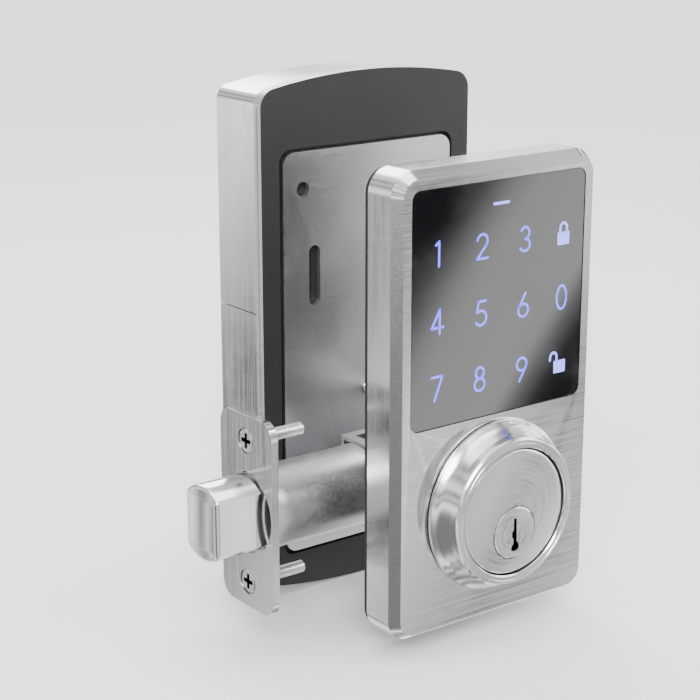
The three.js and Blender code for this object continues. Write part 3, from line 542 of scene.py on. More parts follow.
def make_wear_group():
    """Rubbed edges: where the surface bends outwards, broken by noise."""
    group, given, out = new_group(
        "Rubbed edges",
        [("Vector", "NodeSocketVector", None), ("Scale", "NodeSocketFloat", 300.0)],
        ["Mask"],
    )
    bend = group.nodes.new("ShaderNodeNewGeometry").outputs["Pointiness"]
    broken = node(group, "ShaderNodeTexNoise", Vector=given["Vector"], Scale=given["Scale"], Detail=2.0)
    share = between(group, broken.outputs[0], 0.3, 0.65, 0.4, 1.0)
    group.links.new(math_node(group, "MULTIPLY", between(group, bend, 0.52, 0.6), share), out["Mask"])
    return group


def make_pebble_group():
    """Moulded or cast skin: cells and noise together give a height."""
    group, given, out = new_group(
        "Pebble skin",
        [("Vector", "NodeSocketVector", None), ("Scale", "NodeSocketFloat", 3000.0)],
        ["Height", "Tone"],
    )
    cells = node(group, "ShaderNodeTexVoronoi", Vector=given["Vector"], Scale=given["Scale"])
    grains = node(group, "ShaderNodeTexNoise", Vector=given["Vector"], Scale=given["Scale"], Detail=2.0)
    height = math_node(group, "MULTIPLY_ADD", grains.outputs[0], 0.8, cells.outputs["Distance"])
    group.links.new(height, out["Height"])
    group.links.new(between(group, grains.outputs[0], 0.3, 0.7), out["Tone"])
    return group


def ramp(tree, share, stops):
    """A grey that follows (place, value) stops."""
    made = node(tree, "ShaderNodeValToRGB", _0=share)
    made.color_ramp.interpolation = "EASE"
    elements = made.color_ramp.elements
    while len(elements) < len(stops):
        elements.new(0.5)
    for element, (place, value) in zip(elements, stops):
        element.position = place
        element.color = (value, value, value, 1)
    return made.outputs[0]


def use_group(tree, group, **inputs):
    return node(tree, "ShaderNodeGroup", {"node_tree": group}, **inputs).outputs


def new_material(name, **shader):
    """A material with a Principled shader whose own sockets are set, and its object coordinates."""
    made = bpy.data.materials.new(name)
    made.use_nodes = True
    tree = made.node_tree
    principled = tree.nodes["Principled BSDF"]
    for key, value in shader.items():
        principled.inputs[key.replace("_", " ")].default_value = value
    coordinates = tree.nodes.new("ShaderNodeTexCoord").outputs["Object"]
    MATERIALS[name] = made
    return tree, principled.inputs, coordinates


def scaled(tree, coordinates, scale):
    return node(tree, "ShaderNodeMapping", Vector=coordinates, Scale=scale).outputs[0]


def about_axis(tree, coordinates, per_radius, per_depth, height):
    """Coordinates of lines turned about the Y axis at a height: radius first, depth second."""
    moved = node(tree, "ShaderNodeMapping", Vector=coordinates, Location=(0, 0, -height * MM)).outputs[0]
    split = node(tree, "ShaderNodeSeparateXYZ", Vector=moved).outputs
    across = math_node(tree, "MULTIPLY", split[0], split[0])
    squares = math_node(tree, "MULTIPLY_ADD", split[2], split[2], across)
    radius = math_node(tree, "MULTIPLY", math_node(tree, "SQRT", squares), per_radius)
    depth = math_node(tree, "MULTIPLY", split[1], per_depth)
    angle = math_node(tree, "ARCTAN2", split[2], split[0])
    return node(tree, "ShaderNodeCombineXYZ", X=radius, Y=depth, Z=angle).outputs[0]


def metal(name, base, rough, stretch, groups, depth=0.5, tone=0.06, wear=0.5, centre=None, marks=0.04):
    """A brushed or turned metal: grain in its height, tone and roughness, marks of handling, and
    brighter, smoother edges."""
    tree, shader, at = new_material(name, Metallic=1.0)
    vector = scaled(tree, at, stretch) if centre is None else about_axis(tree, at, *stretch, centre)
    grain = use_group(tree, groups["grain"], Vector=vector)
    handled = use_group(tree, groups["handling"], Vector=at)["Mask"]
    rubbed = math_node(tree, "MULTIPLY", use_group(tree, groups["wear"], Vector=at)["Mask"], wear)
    dark = (*[c * (1 - tone) for c in base], 1)
    light = (*[min(1.0, c * (1 + tone * 0.4)) for c in base], 1)
    toned = blend_colour(tree, grain["Tone"], dark, light)
    edge = (*[min(1.0, c * 1.14) for c in base], 1)
    tree.links.new(blend_colour(tree, rubbed, toned, edge), shader["Base Color"])
    roughness = between(tree, grain["Tone"], 0, 1, rough - 0.04, rough + 0.04)
    roughness = math_node(tree, "MULTIPLY_ADD", handled, marks, roughness)
    roughness = math_node(tree, "MULTIPLY_ADD", rubbed, -0.08, roughness)
    tree.links.new(roughness, shader["Roughness"])
    bump = node(tree, "ShaderNodeBump", Strength=depth, Distance=0.00002, Height=grain["Height"])
    tree.links.new(bump.outputs[0], shader["Normal"])


def moulded(name, base, rough, scale, groups, depth=0.3, tone=0.12, marks=0.1, **extra):
    """A moulded, cast or rubber skin: pebbled height, slight tone and uneven gloss."""
    tree, shader, at = new_material(name, **extra)
    pebble = use_group(tree, groups["pebble"], Vector=at, Scale=scale)
    handled = use_group(tree, groups["handling"], Vector=at, Scale=60.0)["Mask"]
    dark = (*[c * (1 - tone) for c in base], 1)
    light = (*[min(1.0, c * (1 + tone)) for c in base], 1)
    tree.links.new(blend_colour(tree, pebble["Tone"], dark, light), shader["Base Color"])
    roughness = between(tree, pebble["Tone"], 0, 1, rough - 0.06, rough + 0.06)
    tree.links.new(math_node(tree, "MULTIPLY_ADD", handled, -marks, roughness), shader["Roughness"])
    bump = node(tree, "ShaderNodeBump", Strength=depth, Distance=0.00005, Height=pebble["Height"])
    tree.links.new(bump.outputs[0], shader["Normal"])


def panel_finish(groups):
    """Glossy black touch panel: finger marks dull it a little and it waves by a few microns."""
    tree, shader, at = new_material("panel", Coat_Weight=1.0, Coat_Roughness=0.02, Coat_IOR=1.9, IOR=1.5)
    handled = use_group(tree, groups["handling"], Vector=at, Scale=55.0)["Mask"]
    base = finish().panel
    light = (*[c * 1.8 + 0.004 for c in base], 1)
    tree.links.new(blend_colour(tree, handled, (*base, 1), light), shader["Base Color"])
    tree.links.new(between(tree, handled, 0, 1, 0.05, 0.16), shader["Roughness"])
    wave = node(tree, "ShaderNodeTexNoise", Vector=at, Scale=24.0, Detail=1.0)
    bump = node(tree, "ShaderNodeBump", Strength=0.05, Distance=0.0002, Height=wave.outputs[0])
    tree.links.new(bump.outputs[0], shader["Normal"])


def lit_finish(name, base, strength, groups):
    """Light that comes through the panel: a fine mottle from the light guide behind it."""
    tree, shader, at = new_material(name, Roughness=0.2, Coat_Weight=1.0, Coat_Roughness=0.03)
    mottle = use_group(tree, groups["pebble"], Vector=at, Scale=900.0)["Tone"]
    dim = (*[c * 0.82 for c in base], 1)
    shade = blend_colour(tree, mottle, dim, (*base, 1))
    tree.links.new(shade, shader["Base Color"])
    tree.links.new(shade, shader["Emission Color"])
    shader["Emission Strength"].default_value = strength


def board_finish(groups):
    """Green solder mask over copper tracks: tracks are steps of two crossed waves, slightly raised."""
    tree, shader, at = new_material("board", Coat_Weight=0.6, Coat_Roughness=0.18)
    wobble = node(tree, "ShaderNodeTexVoronoi", {"distance": "CHEBYCHEV"}, Vector=at, Scale=230.0)
    track = between(tree, wobble.outputs["Distance"], 0.36, 0.4)
    fine = use_group(tree, groups["pebble"], Vector=at, Scale=1500.0)
    green = blend_colour(tree, track, (0.01, 0.085, 0.035, 1), (0.02, 0.15, 0.06, 1))
    tree.links.new(green, shader["Base Color"])
    tree.links.new(between(tree, fine["Tone"], 0, 1, 0.35, 0.5), shader["Roughness"])
    bump = node(tree, "ShaderNodeBump", Strength=0.3, Distance=0.00005, Height=track)
    tree.links.new(bump.outputs[0], shader["Normal"])


def make_finishes():
    """Every material of the lock."""
    f = finish()
    groups = {
        "grain": make_grain_group(),
        "handling": make_handling_group(),
        "wear": make_wear_group(),
        "pebble": make_pebble_group(),
    }
    nickel, bright = tuple(f.nickel), tuple(f.bright)
    metal("nickel_flat", nickel, 0.16, (26, 900, 1900), groups, depth=0.09, tone=0.05)
    metal("nickel_side", nickel, 0.17, (1900, 1900, 26), groups, depth=0.09, tone=0.05)
    metal("nickel_turned", nickel, 0.17, (2600, 2600), groups, centre=0.0, depth=0.1)
    metal("plug_face", bright, 0.17, (3000, 3000), groups, centre=AXIS_Z, depth=0.12)
    metal("nickel_bright", bright, 0.2, (700, 700, 700), groups, depth=0.12, tone=0.04)
    metal("plated", (0.62, 0.63, 0.64), 0.36, (900, 900, 900), groups, depth=0.08, tone=0.08, marks=0.1)
    metal("threaded", (0.60, 0.61, 0.62), 0.28, (1500, 1500, 1500), groups, tone=0.12)
    # Near-black steel: the real finish of the latch cam and the hardened insert, and also painted shade for
    # the dark insides of screw recesses, the keyway and the cover screw's pocket.
    metal("blackened_and_recess_shade", (0.05, 0.05, 0.055), 0.34, (900, 900, 900), groups, tone=0.3, wear=0.2)
    metal("brass", (0.75, 0.55, 0.22), 0.25, (400, 1500, 400), groups, tone=0.12)
    moulded("casting", (0.42, 0.42, 0.41), 0.5, 1400.0, groups, depth=0.7, Metallic=1.0)
    moulded("foam", (0.012, 0.012, 0.013), 0.95, 2600.0, groups, depth=1.0, tone=0.3)
    moulded("moulding", (0.012, 0.012, 0.013), 0.62, 4200.0, groups, depth=0.4)
    silver = {"depth": 0.2, "tone": 0.05, "Metallic": 0.7}
    moulded("silver_moulding", (0.46, 0.46, 0.455), 0.32, 4200.0, groups, **silver)
    moulded("black_part", (0.012, 0.012, 0.013), 0.5, 4200.0, groups, depth=0.3)
    milky = {"depth": 0.12, "tone": 0.03, "Subsurface_Weight": 0.05}
    moulded("acetal", (0.78, 0.77, 0.72), 0.42, 2400.0, groups, **milky)
    moulded("nylon", (0.75, 0.71, 0.60), 0.4, 2400.0, groups, depth=0.15, tone=0.04)
    moulded("guide", (0.80, 0.82, 0.88), 0.4, 1600.0, groups, depth=0.1, tone=0.03)
    film = {"depth": 0.04, "marks": 0.03}
    moulded("jacket", (0.018, 0.019, 0.022), 0.3, 3500.0, groups, tone=0.1, Coat_Weight=0.4, **film)
    moulded("cell_band", (0.50, 0.26, 0.12), 0.3, 3500.0, groups, tone=0.05, Metallic=0.9, **film)
    moulded("sleeve", (0.02, 0.02, 0.022), 0.5, 2600.0, groups, depth=0.25)
    moulded("red_button", (0.5, 0.04, 0.03), 0.35, 3000.0, groups, depth=0.2)
    panel_finish(groups)
    lit_finish("digit", tuple(f.digits), f.digit_light, groups)
    lit_finish("icon", tuple(f.icons), f.digit_light, groups)
    board_finish(groups)


# ---------- touch panel's figures ----------
def arc(cx, cz, rx, rz, start, end, steps=28):
    a = np.radians(np.linspace(start, end, steps))
    return np.stack([cx + rx * np.cos(a), cz + rz * np.sin(a)], -1)


def line(*points):
    """Straight strokes through the points, each sampled along its length."""
    points = np.asarray(points, float)
    t = np.linspace(0, 1, 6)[:, None]
    return [a + (b - a) * t for a, b in zip(points[:-1], points[1:])]


STROKES = {
    "0": [arc(0, 0.5, 0.25, 0.46, 0, 360, 48)],
    "1": line((-0.12, 0.84), (0.03, 0.96), (0.03, 0.04)),
    "2": [arc(0, 0.7, 0.25, 0.26, 168, -38)] + line((0.2, 0.54), (-0.25, 0.04), (0.28, 0.04)),
    "3": [arc(0, 0.73, 0.21, 0.23, 150, -90), arc(0, 0.27, 0.25, 0.23, 90, -152)],
    "4": line((0.1, 0.04), (0.1, 0.96), (-0.28, 0.28), (0.27, 0.28)),
    "5": line((0.22, 0.96), (-0.13, 0.96), (-0.2, 0.56)) + [arc(-0.01, 0.32, 0.27, 0.28, 122, -148)],
    "6": [arc(0, 0.29, 0.25, 0.25, 0, 360, 40)] + line((0.1, 0.96), (-0.215, 0.42)),
    "7": line((-0.25, 0.96), (0.26, 0.96), (-0.1, 0.04)),
    "8": [arc(0, 0.74, 0.2, 0.22, 0, 360, 40), arc(0, 0.28, 0.25, 0.24, 0, 360, 40)],
    "9": [arc(0, 0.71, 0.25, 0.25, 0, 360, 40)] + line((-0.1, 0.04), (0.215, 0.58)),
}
KEYS = [["1", "2", "3", "closed"], ["4", "5", "6", "0"], ["7", "8", "9", "open"]]
KEY_X = (-22.0, -6.6, 8.9, 23.4)
KEY_Z = (75.4, 56.7, 38.0)


def ribbon(path, width, front, back):
    """A flat stroke with round ends: the path is run on by half the width at each end while its
    half width falls as the square root of one minus the square of how far along that it is."""
    path = np.asarray(path, float)
    half = width / 2
    tail = np.sin(np.linspace(0, np.pi / 2, 6))[1:]
    first = (path[0] - path[1]) / np.linalg.norm(path[0] - path[1])
    last = (path[-1] - path[-2]) / np.linalg.norm(path[-1] - path[-2])
    lead = path[0] + first * half * tail[::-1, None]
    full = np.concatenate([lead, path, path[-1] + last * half * tail[:, None]])
    spread = half * np.sqrt(np.clip(1 - np.concatenate([tail[::-1], np.zeros(len(path)), tail]) ** 2, 0, 1))
    along = np.gradient(full, axis=0)
    along /= np.linalg.norm(along, axis=1, keepdims=True)
    side = np.stack([-along[:, 1], along[:, 0]], -1) * spread[:, None]
    left, right = full + side, full - side
    rings = np.stack([lift(left, front), lift(right, front), lift(right, back), lift(left, back)], 1)
    return skin(rings)


def padlock(x, z, size, is_open, front, back):
    """A padlock's filled body and its shackle."""
    body = rounded_rectangle(0.6 * size, 0.5 * size, 0.05 * size, x, z + 0.27 * size)
    shift = -0.32 * size if is_open else 0
    bow = arc(x + shift, z + 0.66 * size, 0.17 * size, 0.2 * size, 0, 180, 24)
    right = np.array([[x + shift + 0.17 * size, z + 0.5 * size]])
    left = np.array([[x + shift - 0.17 * size, z + (0.58 if is_open else 0.5) * size]])
    shackle = ribbon(np.vstack([right, bow, left]), 0.1 * size, front, back)
    return plate(body, front, back) + [shackle]


class DEADBOLT_OT_touch_panel(bpy.types.Operator):
    """Add the touch panel with its lit digits, padlocks and status bar"""

    bl_idname = "deadbolt.touch_panel"
    bl_label = "Touch panel"

    def execute(self, context):
        low, high = node_box("touch_glass")
        front = low[1]
        wide, tall = high[0] - low[0], high[2] - low[2]
        outline = rounded_rectangle(wide, tall, 2.6, 0, (low[2] + high[2]) / 2, 12)
        glass = plate(outline, front, high[1])
        piece("touch_panel", glass, "panel", stands_for="touch_glass", round_by=0.22)
        height = sizes().digit_height / MM
        stroke = sizes().digit_stroke / MM
        figure_front, figure_back = front - 0.02, front + 0.1
        digits, icons = [], []
        for row, z in zip(KEYS, KEY_Z):
            for key, x in zip(row, KEY_X):
                if key in STROKES:
                    foot = np.array([x, z - height / 2])
                    paths = [foot + path * height for path in STROKES[key]]
                    digits += [ribbon(path, stroke, figure_front, figure_back) for path in paths]
                else:
                    size = height * 1.02
                    icons += padlock(x, z - height / 2, size, key == "open", figure_front, figure_back)
        piece("lit_digits", digits, "digit")
        piece("lit_padlocks", icons, "icon")
        bar_path = np.stack([np.linspace(-2.6, 2.6, 8), np.full(8, 86.6)], -1)
        piece("status_bar", [ribbon(bar_path, 0.8, figure_front, figure_back)], "icon")
        return {"FINISHED"}


# ---------- keypad half ----------
class DEADBOLT_OT_keypad_housing(bpy.types.Operator):
    """Add the keypad half's bevelled housing, its foam seal and its back plate"""

    bl_idname = "deadbolt.keypad_housing"
    bl_label = "Keypad housing"

    def execute(self, context):
        low, high = node_box("exterior_housing")
        mid = (low[2] + high[2]) / 2
        wide, tall = high[0] - low[0], high[2] - low[2]
        outline = rounded_rectangle(wide, tall, 7, 0, mid, 32)
        front, back = low[1], high[1]
        glass_low, glass_high = node_box("touch_glass")
        glass_mid = (glass_low[2] + glass_high[2]) / 2
        seat = rounded_rectangle(62.5, 66.5, 2.85, 0, glass_mid, 18)
        window = rounded_rectangle(56, 60, 1.5, 0, glass_mid, 18)
        bore = circle(22, sides=72)
        ledge, ceiling = front + 2.3, front + 4.3
        parts = tray(
            outline,
            ([(0, 3.0), (2.0, 0)], 1.0),
            2.0,
            back,
            front,
            [seat, bore],
            [[(seat, ledge), (window, ledge), (window, ceiling)], [(bore, ceiling)]],
            ceiling,
        )
        piece(
            "keypad_housing",
            parts,
            ["nickel_flat", "nickel_side"],
            stands_for="exterior_housing",
            round_by=0.42,
            angle=25,
            walls=0.5,
        )
        low, high = node_box("exterior_gasket")
        seal = rounded_rectangle(high[0] - low[0], high[2] - low[2], 6.5, 0, mid, 10)
        foam = plate(seal, low[1], high[1], [circle(26.5)])
        piece("foam_seal", foam, "foam", stands_for="exterior_gasket", round_by=0.3)
        low, high = node_box("exterior_back_plate")
        sheet = rounded_rectangle(high[0] - low[0], high[2] - low[2], 4, 0, mid, 8)
        a = np.linspace(math.radians(122), math.radians(418), 40)
        round_part = np.stack([9.7 * np.cos(a), AXIS_Z + 9.7 * np.sin(a)], -1)
        opening = np.vstack([round_part, [[5.1, 13.9], [-5.1, 13.9]]])
        cable_hole = circle(2.7, 17.7, -17.1, 24)
        back_plate = plate(sheet, low[1], low[1] + 1.7, [opening, cable_hole])
        posts = []
        for side in (-1, 1):
            outside = [(0, low[1]), (4.2, low[1]), (4.2, high[1] - 0.3), (3.9, high[1])]
            thread = [(2.3, high[1]), (2.3, low[1] + 0.3), (0, low[1] + 0.3)]
            posts.append(turned(outside + thread, 0, side * THROUGH_BOLT_Z, 40))
        piece("back_plate", [back_plate, posts], "casting", stands_for="exterior_back_plate", round_by=0.15)
        for name, side in (("left", -1), ("right", 1)):
            low, high = node_box(f"cylinder_screw_{name}")
            screw = driven_screw(13 * side, 4, high[1], 1.3, 2.7, low[1], 1)
            node_name = f"cylinder_screw_{name}"
            piece(f"{node_name}_head", [screw], SCREW_AND_SOCKET_SHADE_COATS, stands_for=node_name, angle=20)
        return {"FINISHED"}


# A screw's plate, then a near-black coat that is painted shade for the dark inside of its recess.
SCREW_AND_SOCKET_SHADE_COATS = ["threaded", "blackened_and_recess_shade"]


def driven_screw(x, z, head_top, shank, head, tip, facing, recess="cross"):
    """A screw along Y, its head looking along +Y when facing is 1: the shank's radius rises and falls
    once every 0.7 mm for its thread, and the head's flat holds a recess."""

    def at(distance):
        return head_top - facing * distance

    long = abs(head_top - tip)
    if recess == "cross":
        arm, wide = head * 0.62, head * 0.17
        k = [(arm, wide), (wide, wide), (wide, arm), (-wide, arm), (-wide, wide), (-arm, wide)]
        hole = np.array(k + [(-p, -q) for p, q in k])
    else:
        hole = circle(head * 0.42, sides=6)
    hole = hole + [x, z]
    flat = head * 0.8
    turns = np.arange(2.4, long - 1.2, 0.35)
    wave = np.where(np.arange(len(turns)) % 2 == 0, shank, shank * 0.84)
    radius = np.concatenate([[flat, head * 0.95, head, head * 0.98, shank], wave, [shank * 0.5, 0]])
    depth = np.concatenate([[0, 0.22, 0.7, 1.5, 2.05], turns, [long - 0.5, long]])
    body = turned(np.stack([radius, at(depth)], -1), x, z, 36)
    top = cap(lift(circle(flat, x, z, 36), at(0)), [lift(hole, at(0))])
    well = skin([lift(hole, at(0)), lift(hole, at(1.6))])
    # The recess's walls and floor take the second coat: painted shade for the dark inside of the recess.
    return [body, top, (*well, 1), (*cap(lift(hole, at(1.6))), 1)]


def keyhole(r, half, top):
    """Most of a circle about the cylinder's axis, run up from where it is half wide to a flat top,
    with the arc that the opening leaves out."""
    a = math.acos(half / r)
    below = np.linspace(math.pi - a, 2 * math.pi + a, 48)
    above = np.linspace(a, math.pi - a, 12)
    round_part, arc_part = (np.stack([r * np.cos(t), AXIS_Z + r * np.sin(t)], -1) for t in (below, above))
    corners = np.array([[half, top], [-half, top]])
    whole = np.vstack([round_part, corners])
    return whole, np.vstack([round_part, arc_part[1:-1]]), np.vstack([arc_part, corners[::-1]])


def cylinder_case(front, back):
    """The cylinder's case: a bore for the plug and a slot above it for the pins, closed at both ends."""
    outside, _, _ = keyhole(9.2, 4.6, 12.5)
    slotted, bore, slot = keyhole(6.65, 1.9, 11.4)
    open_at, shut_at = front + 2.4, back - 1.6
    ends = [cap(lift(outside, y), [lift(bore, y)]) for y in (front, back)]
    stretches = (
        (outside, front, back),
        (slotted, open_at, shut_at),
        (bore, front, open_at),
        (bore, shut_at, back),
    )
    walls = [skin([lift(outline, y0), lift(outline, y1)]) for outline, y0, y1 in stretches]
    return [*ends, *walls, cap(lift(slot, open_at)), cap(lift(slot, shut_at))]


class DEADBOLT_OT_key_cylinder(bpy.types.Operator):
    """Add the cylinder's collar, its face and case, and the plug with its keyway"""

    bl_idname = "deadbolt.key_cylinder"
    bl_label = "Key cylinder"

    def execute(self, context):
        low, high = node_box("cylinder_collar")
        front, back, foot = low[1], high[1], high[0]
        seat = -14.8
        outside = [
            (18.6, back),
            (18.6, front + 0.35),
            (18.95, front),
            (19.9, front),
            (20.05, front + 0.18),
            (20.2, front),
            (21.1, front + 0.02),
            (21.75, front + 0.7),
            (22.2, front + 2.4),
            (23.4, front + 5.6),
            (foot - 0.1, seat - 1.35),
            (foot, seat - 0.6),
            (foot - 0.2, seat),
            (21.6, seat),
            (21.6, back),
            (18.6, back),
        ]
        radii = [0.1, 0.12, 0.05, 0.05, 0.05, 0.5, 0.5, 3.5, 6.0, 0.35, 0.25, 0.1, 0.1, 0.1]
        ring = turned(soft_profile(outside, radii), sides=144)
        piece("collar_ring", [ring], "nickel_turned", stands_for="cylinder_collar", angle=50)

        low, high = node_box("cylinder_body")
        edge, dome = low[1] + 0.25, low[1]
        u = np.arange(120) * 2 * np.pi / 120
        inner = np.stack([7.8 * np.cos(u), AXIS_Z + 7.8 * np.sin(u)], -1)
        outer = 17.95 * np.stack([np.cos(u), np.sin(u)], -1)
        v = np.linspace(0, 1, 16)[:, None, None]
        flat = inner * (1 - v) + outer * v
        share = (flat**2).sum(-1) / 18.2**2
        face = np.stack([flat[..., 0], dome + (edge - dome) * share, flat[..., 1]], -1)
        rim = [(18.12, edge + 0.12), (18.2, edge + 0.4), (18.2, -15.0)]
        wall = [lift(circle(r, sides=120), y) for r, y in rim]
        bore = lift(inner, -15.0)
        shell = np.concatenate([bore[None], face, np.stack(wall), bore[None]])
        case = cylinder_case(-15.2, high[1])
        posts = [bar("y", 3.5, -16, -3.8, side * 13, 4, 28, 0.3) for side in (-1, 1)]
        parts = [skin(shell), case, posts]
        piece("cylinder_face", parts, "nickel_turned", stands_for="cylinder_body", angle=40)

        low, high = node_box("key_plug")
        front = low[1]
        keyway = np.array(
            [
                [-0.5, 4.3], [-0.55, 0.7], [-1.15, 0.2], [-1.15, -1.1], [-0.55, -1.7], [-0.6, -3.2],
                [-1.25, -3.9], [-1.3, -5.1], [-0.4, -5.5], [1.1, -5.3], [1.5, -4.5], [1.35, -3.3],
                [0.7, -2.6], [0.65, -0.7], [0.5, 4.3],
            ]
        )
        keyway = keyway + [0, AXIS_Z]
        head = [(7.28, front), (7.52, front + 0.12), (7.6, front + 0.35), (7.6, -20.1)]
        profile = head + [(6.35, -20.1), (6.35, high[1]), (0, high[1])]
        sides = 96
        body = turned(profile, 0, AXIS_Z, sides)
        top = cap(lift(circle(7.28, 0, AXIS_Z, sides), front), [lift(keyway, front)])
        # The keyway's walls and floor take the second coat: near-black painted shade for the dark inside of
        # the keyway.
        well = skin([lift(keyway, front), lift(keyway, -12)])
        parts = [body, top, (*well, 1), (*cap(lift(keyway, -12)), 1)]
        piece("plug_with_keyway", parts, ["plug_face", "blackened_and_recess_shade"], "key_plug", "key_plug", angle=20)

        low, high = node_box("plug_cap")
        start, end = low[1], high[1]
        cup = [(0, start), (8.2, start), (8.4, start + 0.2), (8.4, end - 0.2), (8.2, end)]
        cup += [(4.4, end), (4.4, end - 2.6), (0, end - 2.6)]
        piece("plug_end_cap", [turned(cup, 0, AXIS_Z, 64)], "brass", "key_plug", "plug_cap")
        return {"FINISHED"}


# ---------- bolt in the door's edge ----------
LATCH_Y = 22.25
REST_TURN = 53


def to_edge(part):
    """A part drawn as the door's edge is seen, its depth turned to run towards -X."""
    points, faces = part
    return np.stack([-points[:, 1], LATCH_Y + points[:, 0], points[:, 2]], -1), faces


class DEADBOLT_OT_bolt(bpy.types.Operator):
    """Add the bolt, its tube and faceplate with its screws, and the tailpiece"""

    bl_idname = "deadbolt.bolt"
    bl_label = "Bolt"

    def execute(self, context):
        low, high = node_box("latch_faceplate")
        outer, inner = -low[0], -high[0]
        outline = rounded_rectangle(25.4, 57, 5, 0, 0, 12)
        holes = [circle(12, sides=72), circle(3.85, 0, 21, 32), circle(3.85, 0, -21, 32)]
        sheet = [to_edge(p) for p in plate(outline, inner, outer, holes)]
        piece("edge_plate", sheet, ["nickel_side"], stands_for="latch_faceplate", round_by=0.3)
        for name, side in (("upper", 1), ("lower", -1)):
            low, high = node_box(f"faceplate_screw_{name}")
            screw = driven_screw(0, side * 21, -low[0], 1.8, 3.6, -high[0], 1)
            screw = [(*to_edge(p[:2]), *p[2:]) for p in screw]
            piece(f"edge_screw_{name}", screw, SCREW_AND_SOCKET_SHADE_COATS, stands_for=f"faceplate_screw_{name}", angle=20)
        low, high = node_box("latch_tube")
        a, b = -high[0], -low[0]
        wall = [(11.3, a), (11.9, a), (11.9, a + 3), (11.75, a + 3.4), (11.75, b - 5)]
        wall += [(11.9, b - 4.6), (11.9, b), (11.3, b), (11.3, a)]
        piece("bolt_tube", [to_edge(turned(wall, sides=72))], "plated", stands_for="latch_tube")

        low, high = node_box("deadbolt")
        rear, nose = -high[0], -low[0]
        u = np.arange(96) * 2 * np.pi / 96
        r = (high[2] - low[2]) / 2
        section = np.stack([np.clip(r * np.cos(u), -7.75, 7.75), r * np.sin(u)], -1)
        steps = [(0.5, rear), (0, rear + 0.5), (0, nose - 1.1)]
        steps += [(0.15, nose - 0.5), (0.5, nose - 0.12), (1.1, nose)]
        normal = inward(section)
        rings = [lift(section + normal * d, y) for d, y in steps]
        parts = [to_edge(skin(rings)), to_edge(cap(rings[0])), to_edge(cap(rings[-1]))]
        piece("bolt_bar", parts, "nickel_side", "deadbolt", "deadbolt", angle=40)

        low, high = node_box("tailpiece")
        foot, top = AXIS_Z - 3.2, AXIS_Z + 3.2
        blade = box((-1.3, low[1], foot), (1.3, high[1], top))
        places = np.arange(low[1] + 4, high[1] - 4, 6.0)
        scores = [box((-1.36, y, foot), (-1.2, y + 0.5, top)) for y in places]
        parts = [tilted(p, REST_TURN) for p in blade] + [tilted(p, REST_TURN) for s in scores for p in s]
        piece("tail_blade", parts, "plated", "thumbturn", "tailpiece", angle=30)
        for plain in ("latch_case", "bolt_tail", "bolt_rivet"):
            coat_node(plain, "plated")
        coat_node("latch_cam", "blackened_and_recess_shade")
        coat_node("hardened_insert", "blackened_and_recess_shade")
        return {"FINISHED"}


# ---------- battery half ----------
def housing_outline(low_z, high_z, low_bow, high_bow, round_top):
    """The covers' outline: 75 wide, its two ends moved out by bow (1 - (x / half)^2), and the two
    corners away from the seam rounded."""
    half, r, steps = 37.5, 3.5, 24
    corners = np.array([[half, high_z], [-half, high_z], [-half, low_z], [half, low_z]])
    arcs = corner_arcs(corners, r, steps).reshape(4, steps + 1, 2)
    at_top, at_bottom = (r, 0) if round_top else (0, r)
    ends = [arcs[i] if (i < 2) == round_top else corners[i : i + 1] for i in range(4)]
    across = np.linspace(1, -1, 34)[1:-1]
    top = np.stack([across * (half - at_top), np.full(32, high_z)], -1)
    bottom = np.stack([-across * (half - at_bottom), np.full(32, low_z)], -1)
    x, z = np.vstack([ends[0], top, ends[1], ends[2], bottom, ends[3]]).T
    bow = 1 - (x / half) ** 2
    upper = np.clip((z - (low_z + high_z) / 2) / ((high_z - low_z) / 2) * 4, -1, 1)
    return np.stack([x, z + np.where(upper > 0, high_bow * bow * upper, low_bow * bow * upper)], -1)


def housing_edges(front, seam_z, seam_share):
    """How much of the full rounding an edge takes: all on the long front edges, little at the seam,
    half at the ends, and a trace elsewhere."""

    def share(middle, along):
        at_front = np.abs(middle[:, 1] - front) < 0.05
        upright = np.abs(along[:, 2]) ** 2
        near_seam = np.abs(middle[:, 2] - seam_z) < 3
        outer = (np.abs(middle[:, 0]) > 37) | near_seam | (middle[:, 2] < -34) | (middle[:, 2] > 110)
        at_end = np.where(near_seam, seam_share, 0.5)
        return np.where(at_front & outer, at_end + (1 - at_end) * upright, 0.12)

    return share


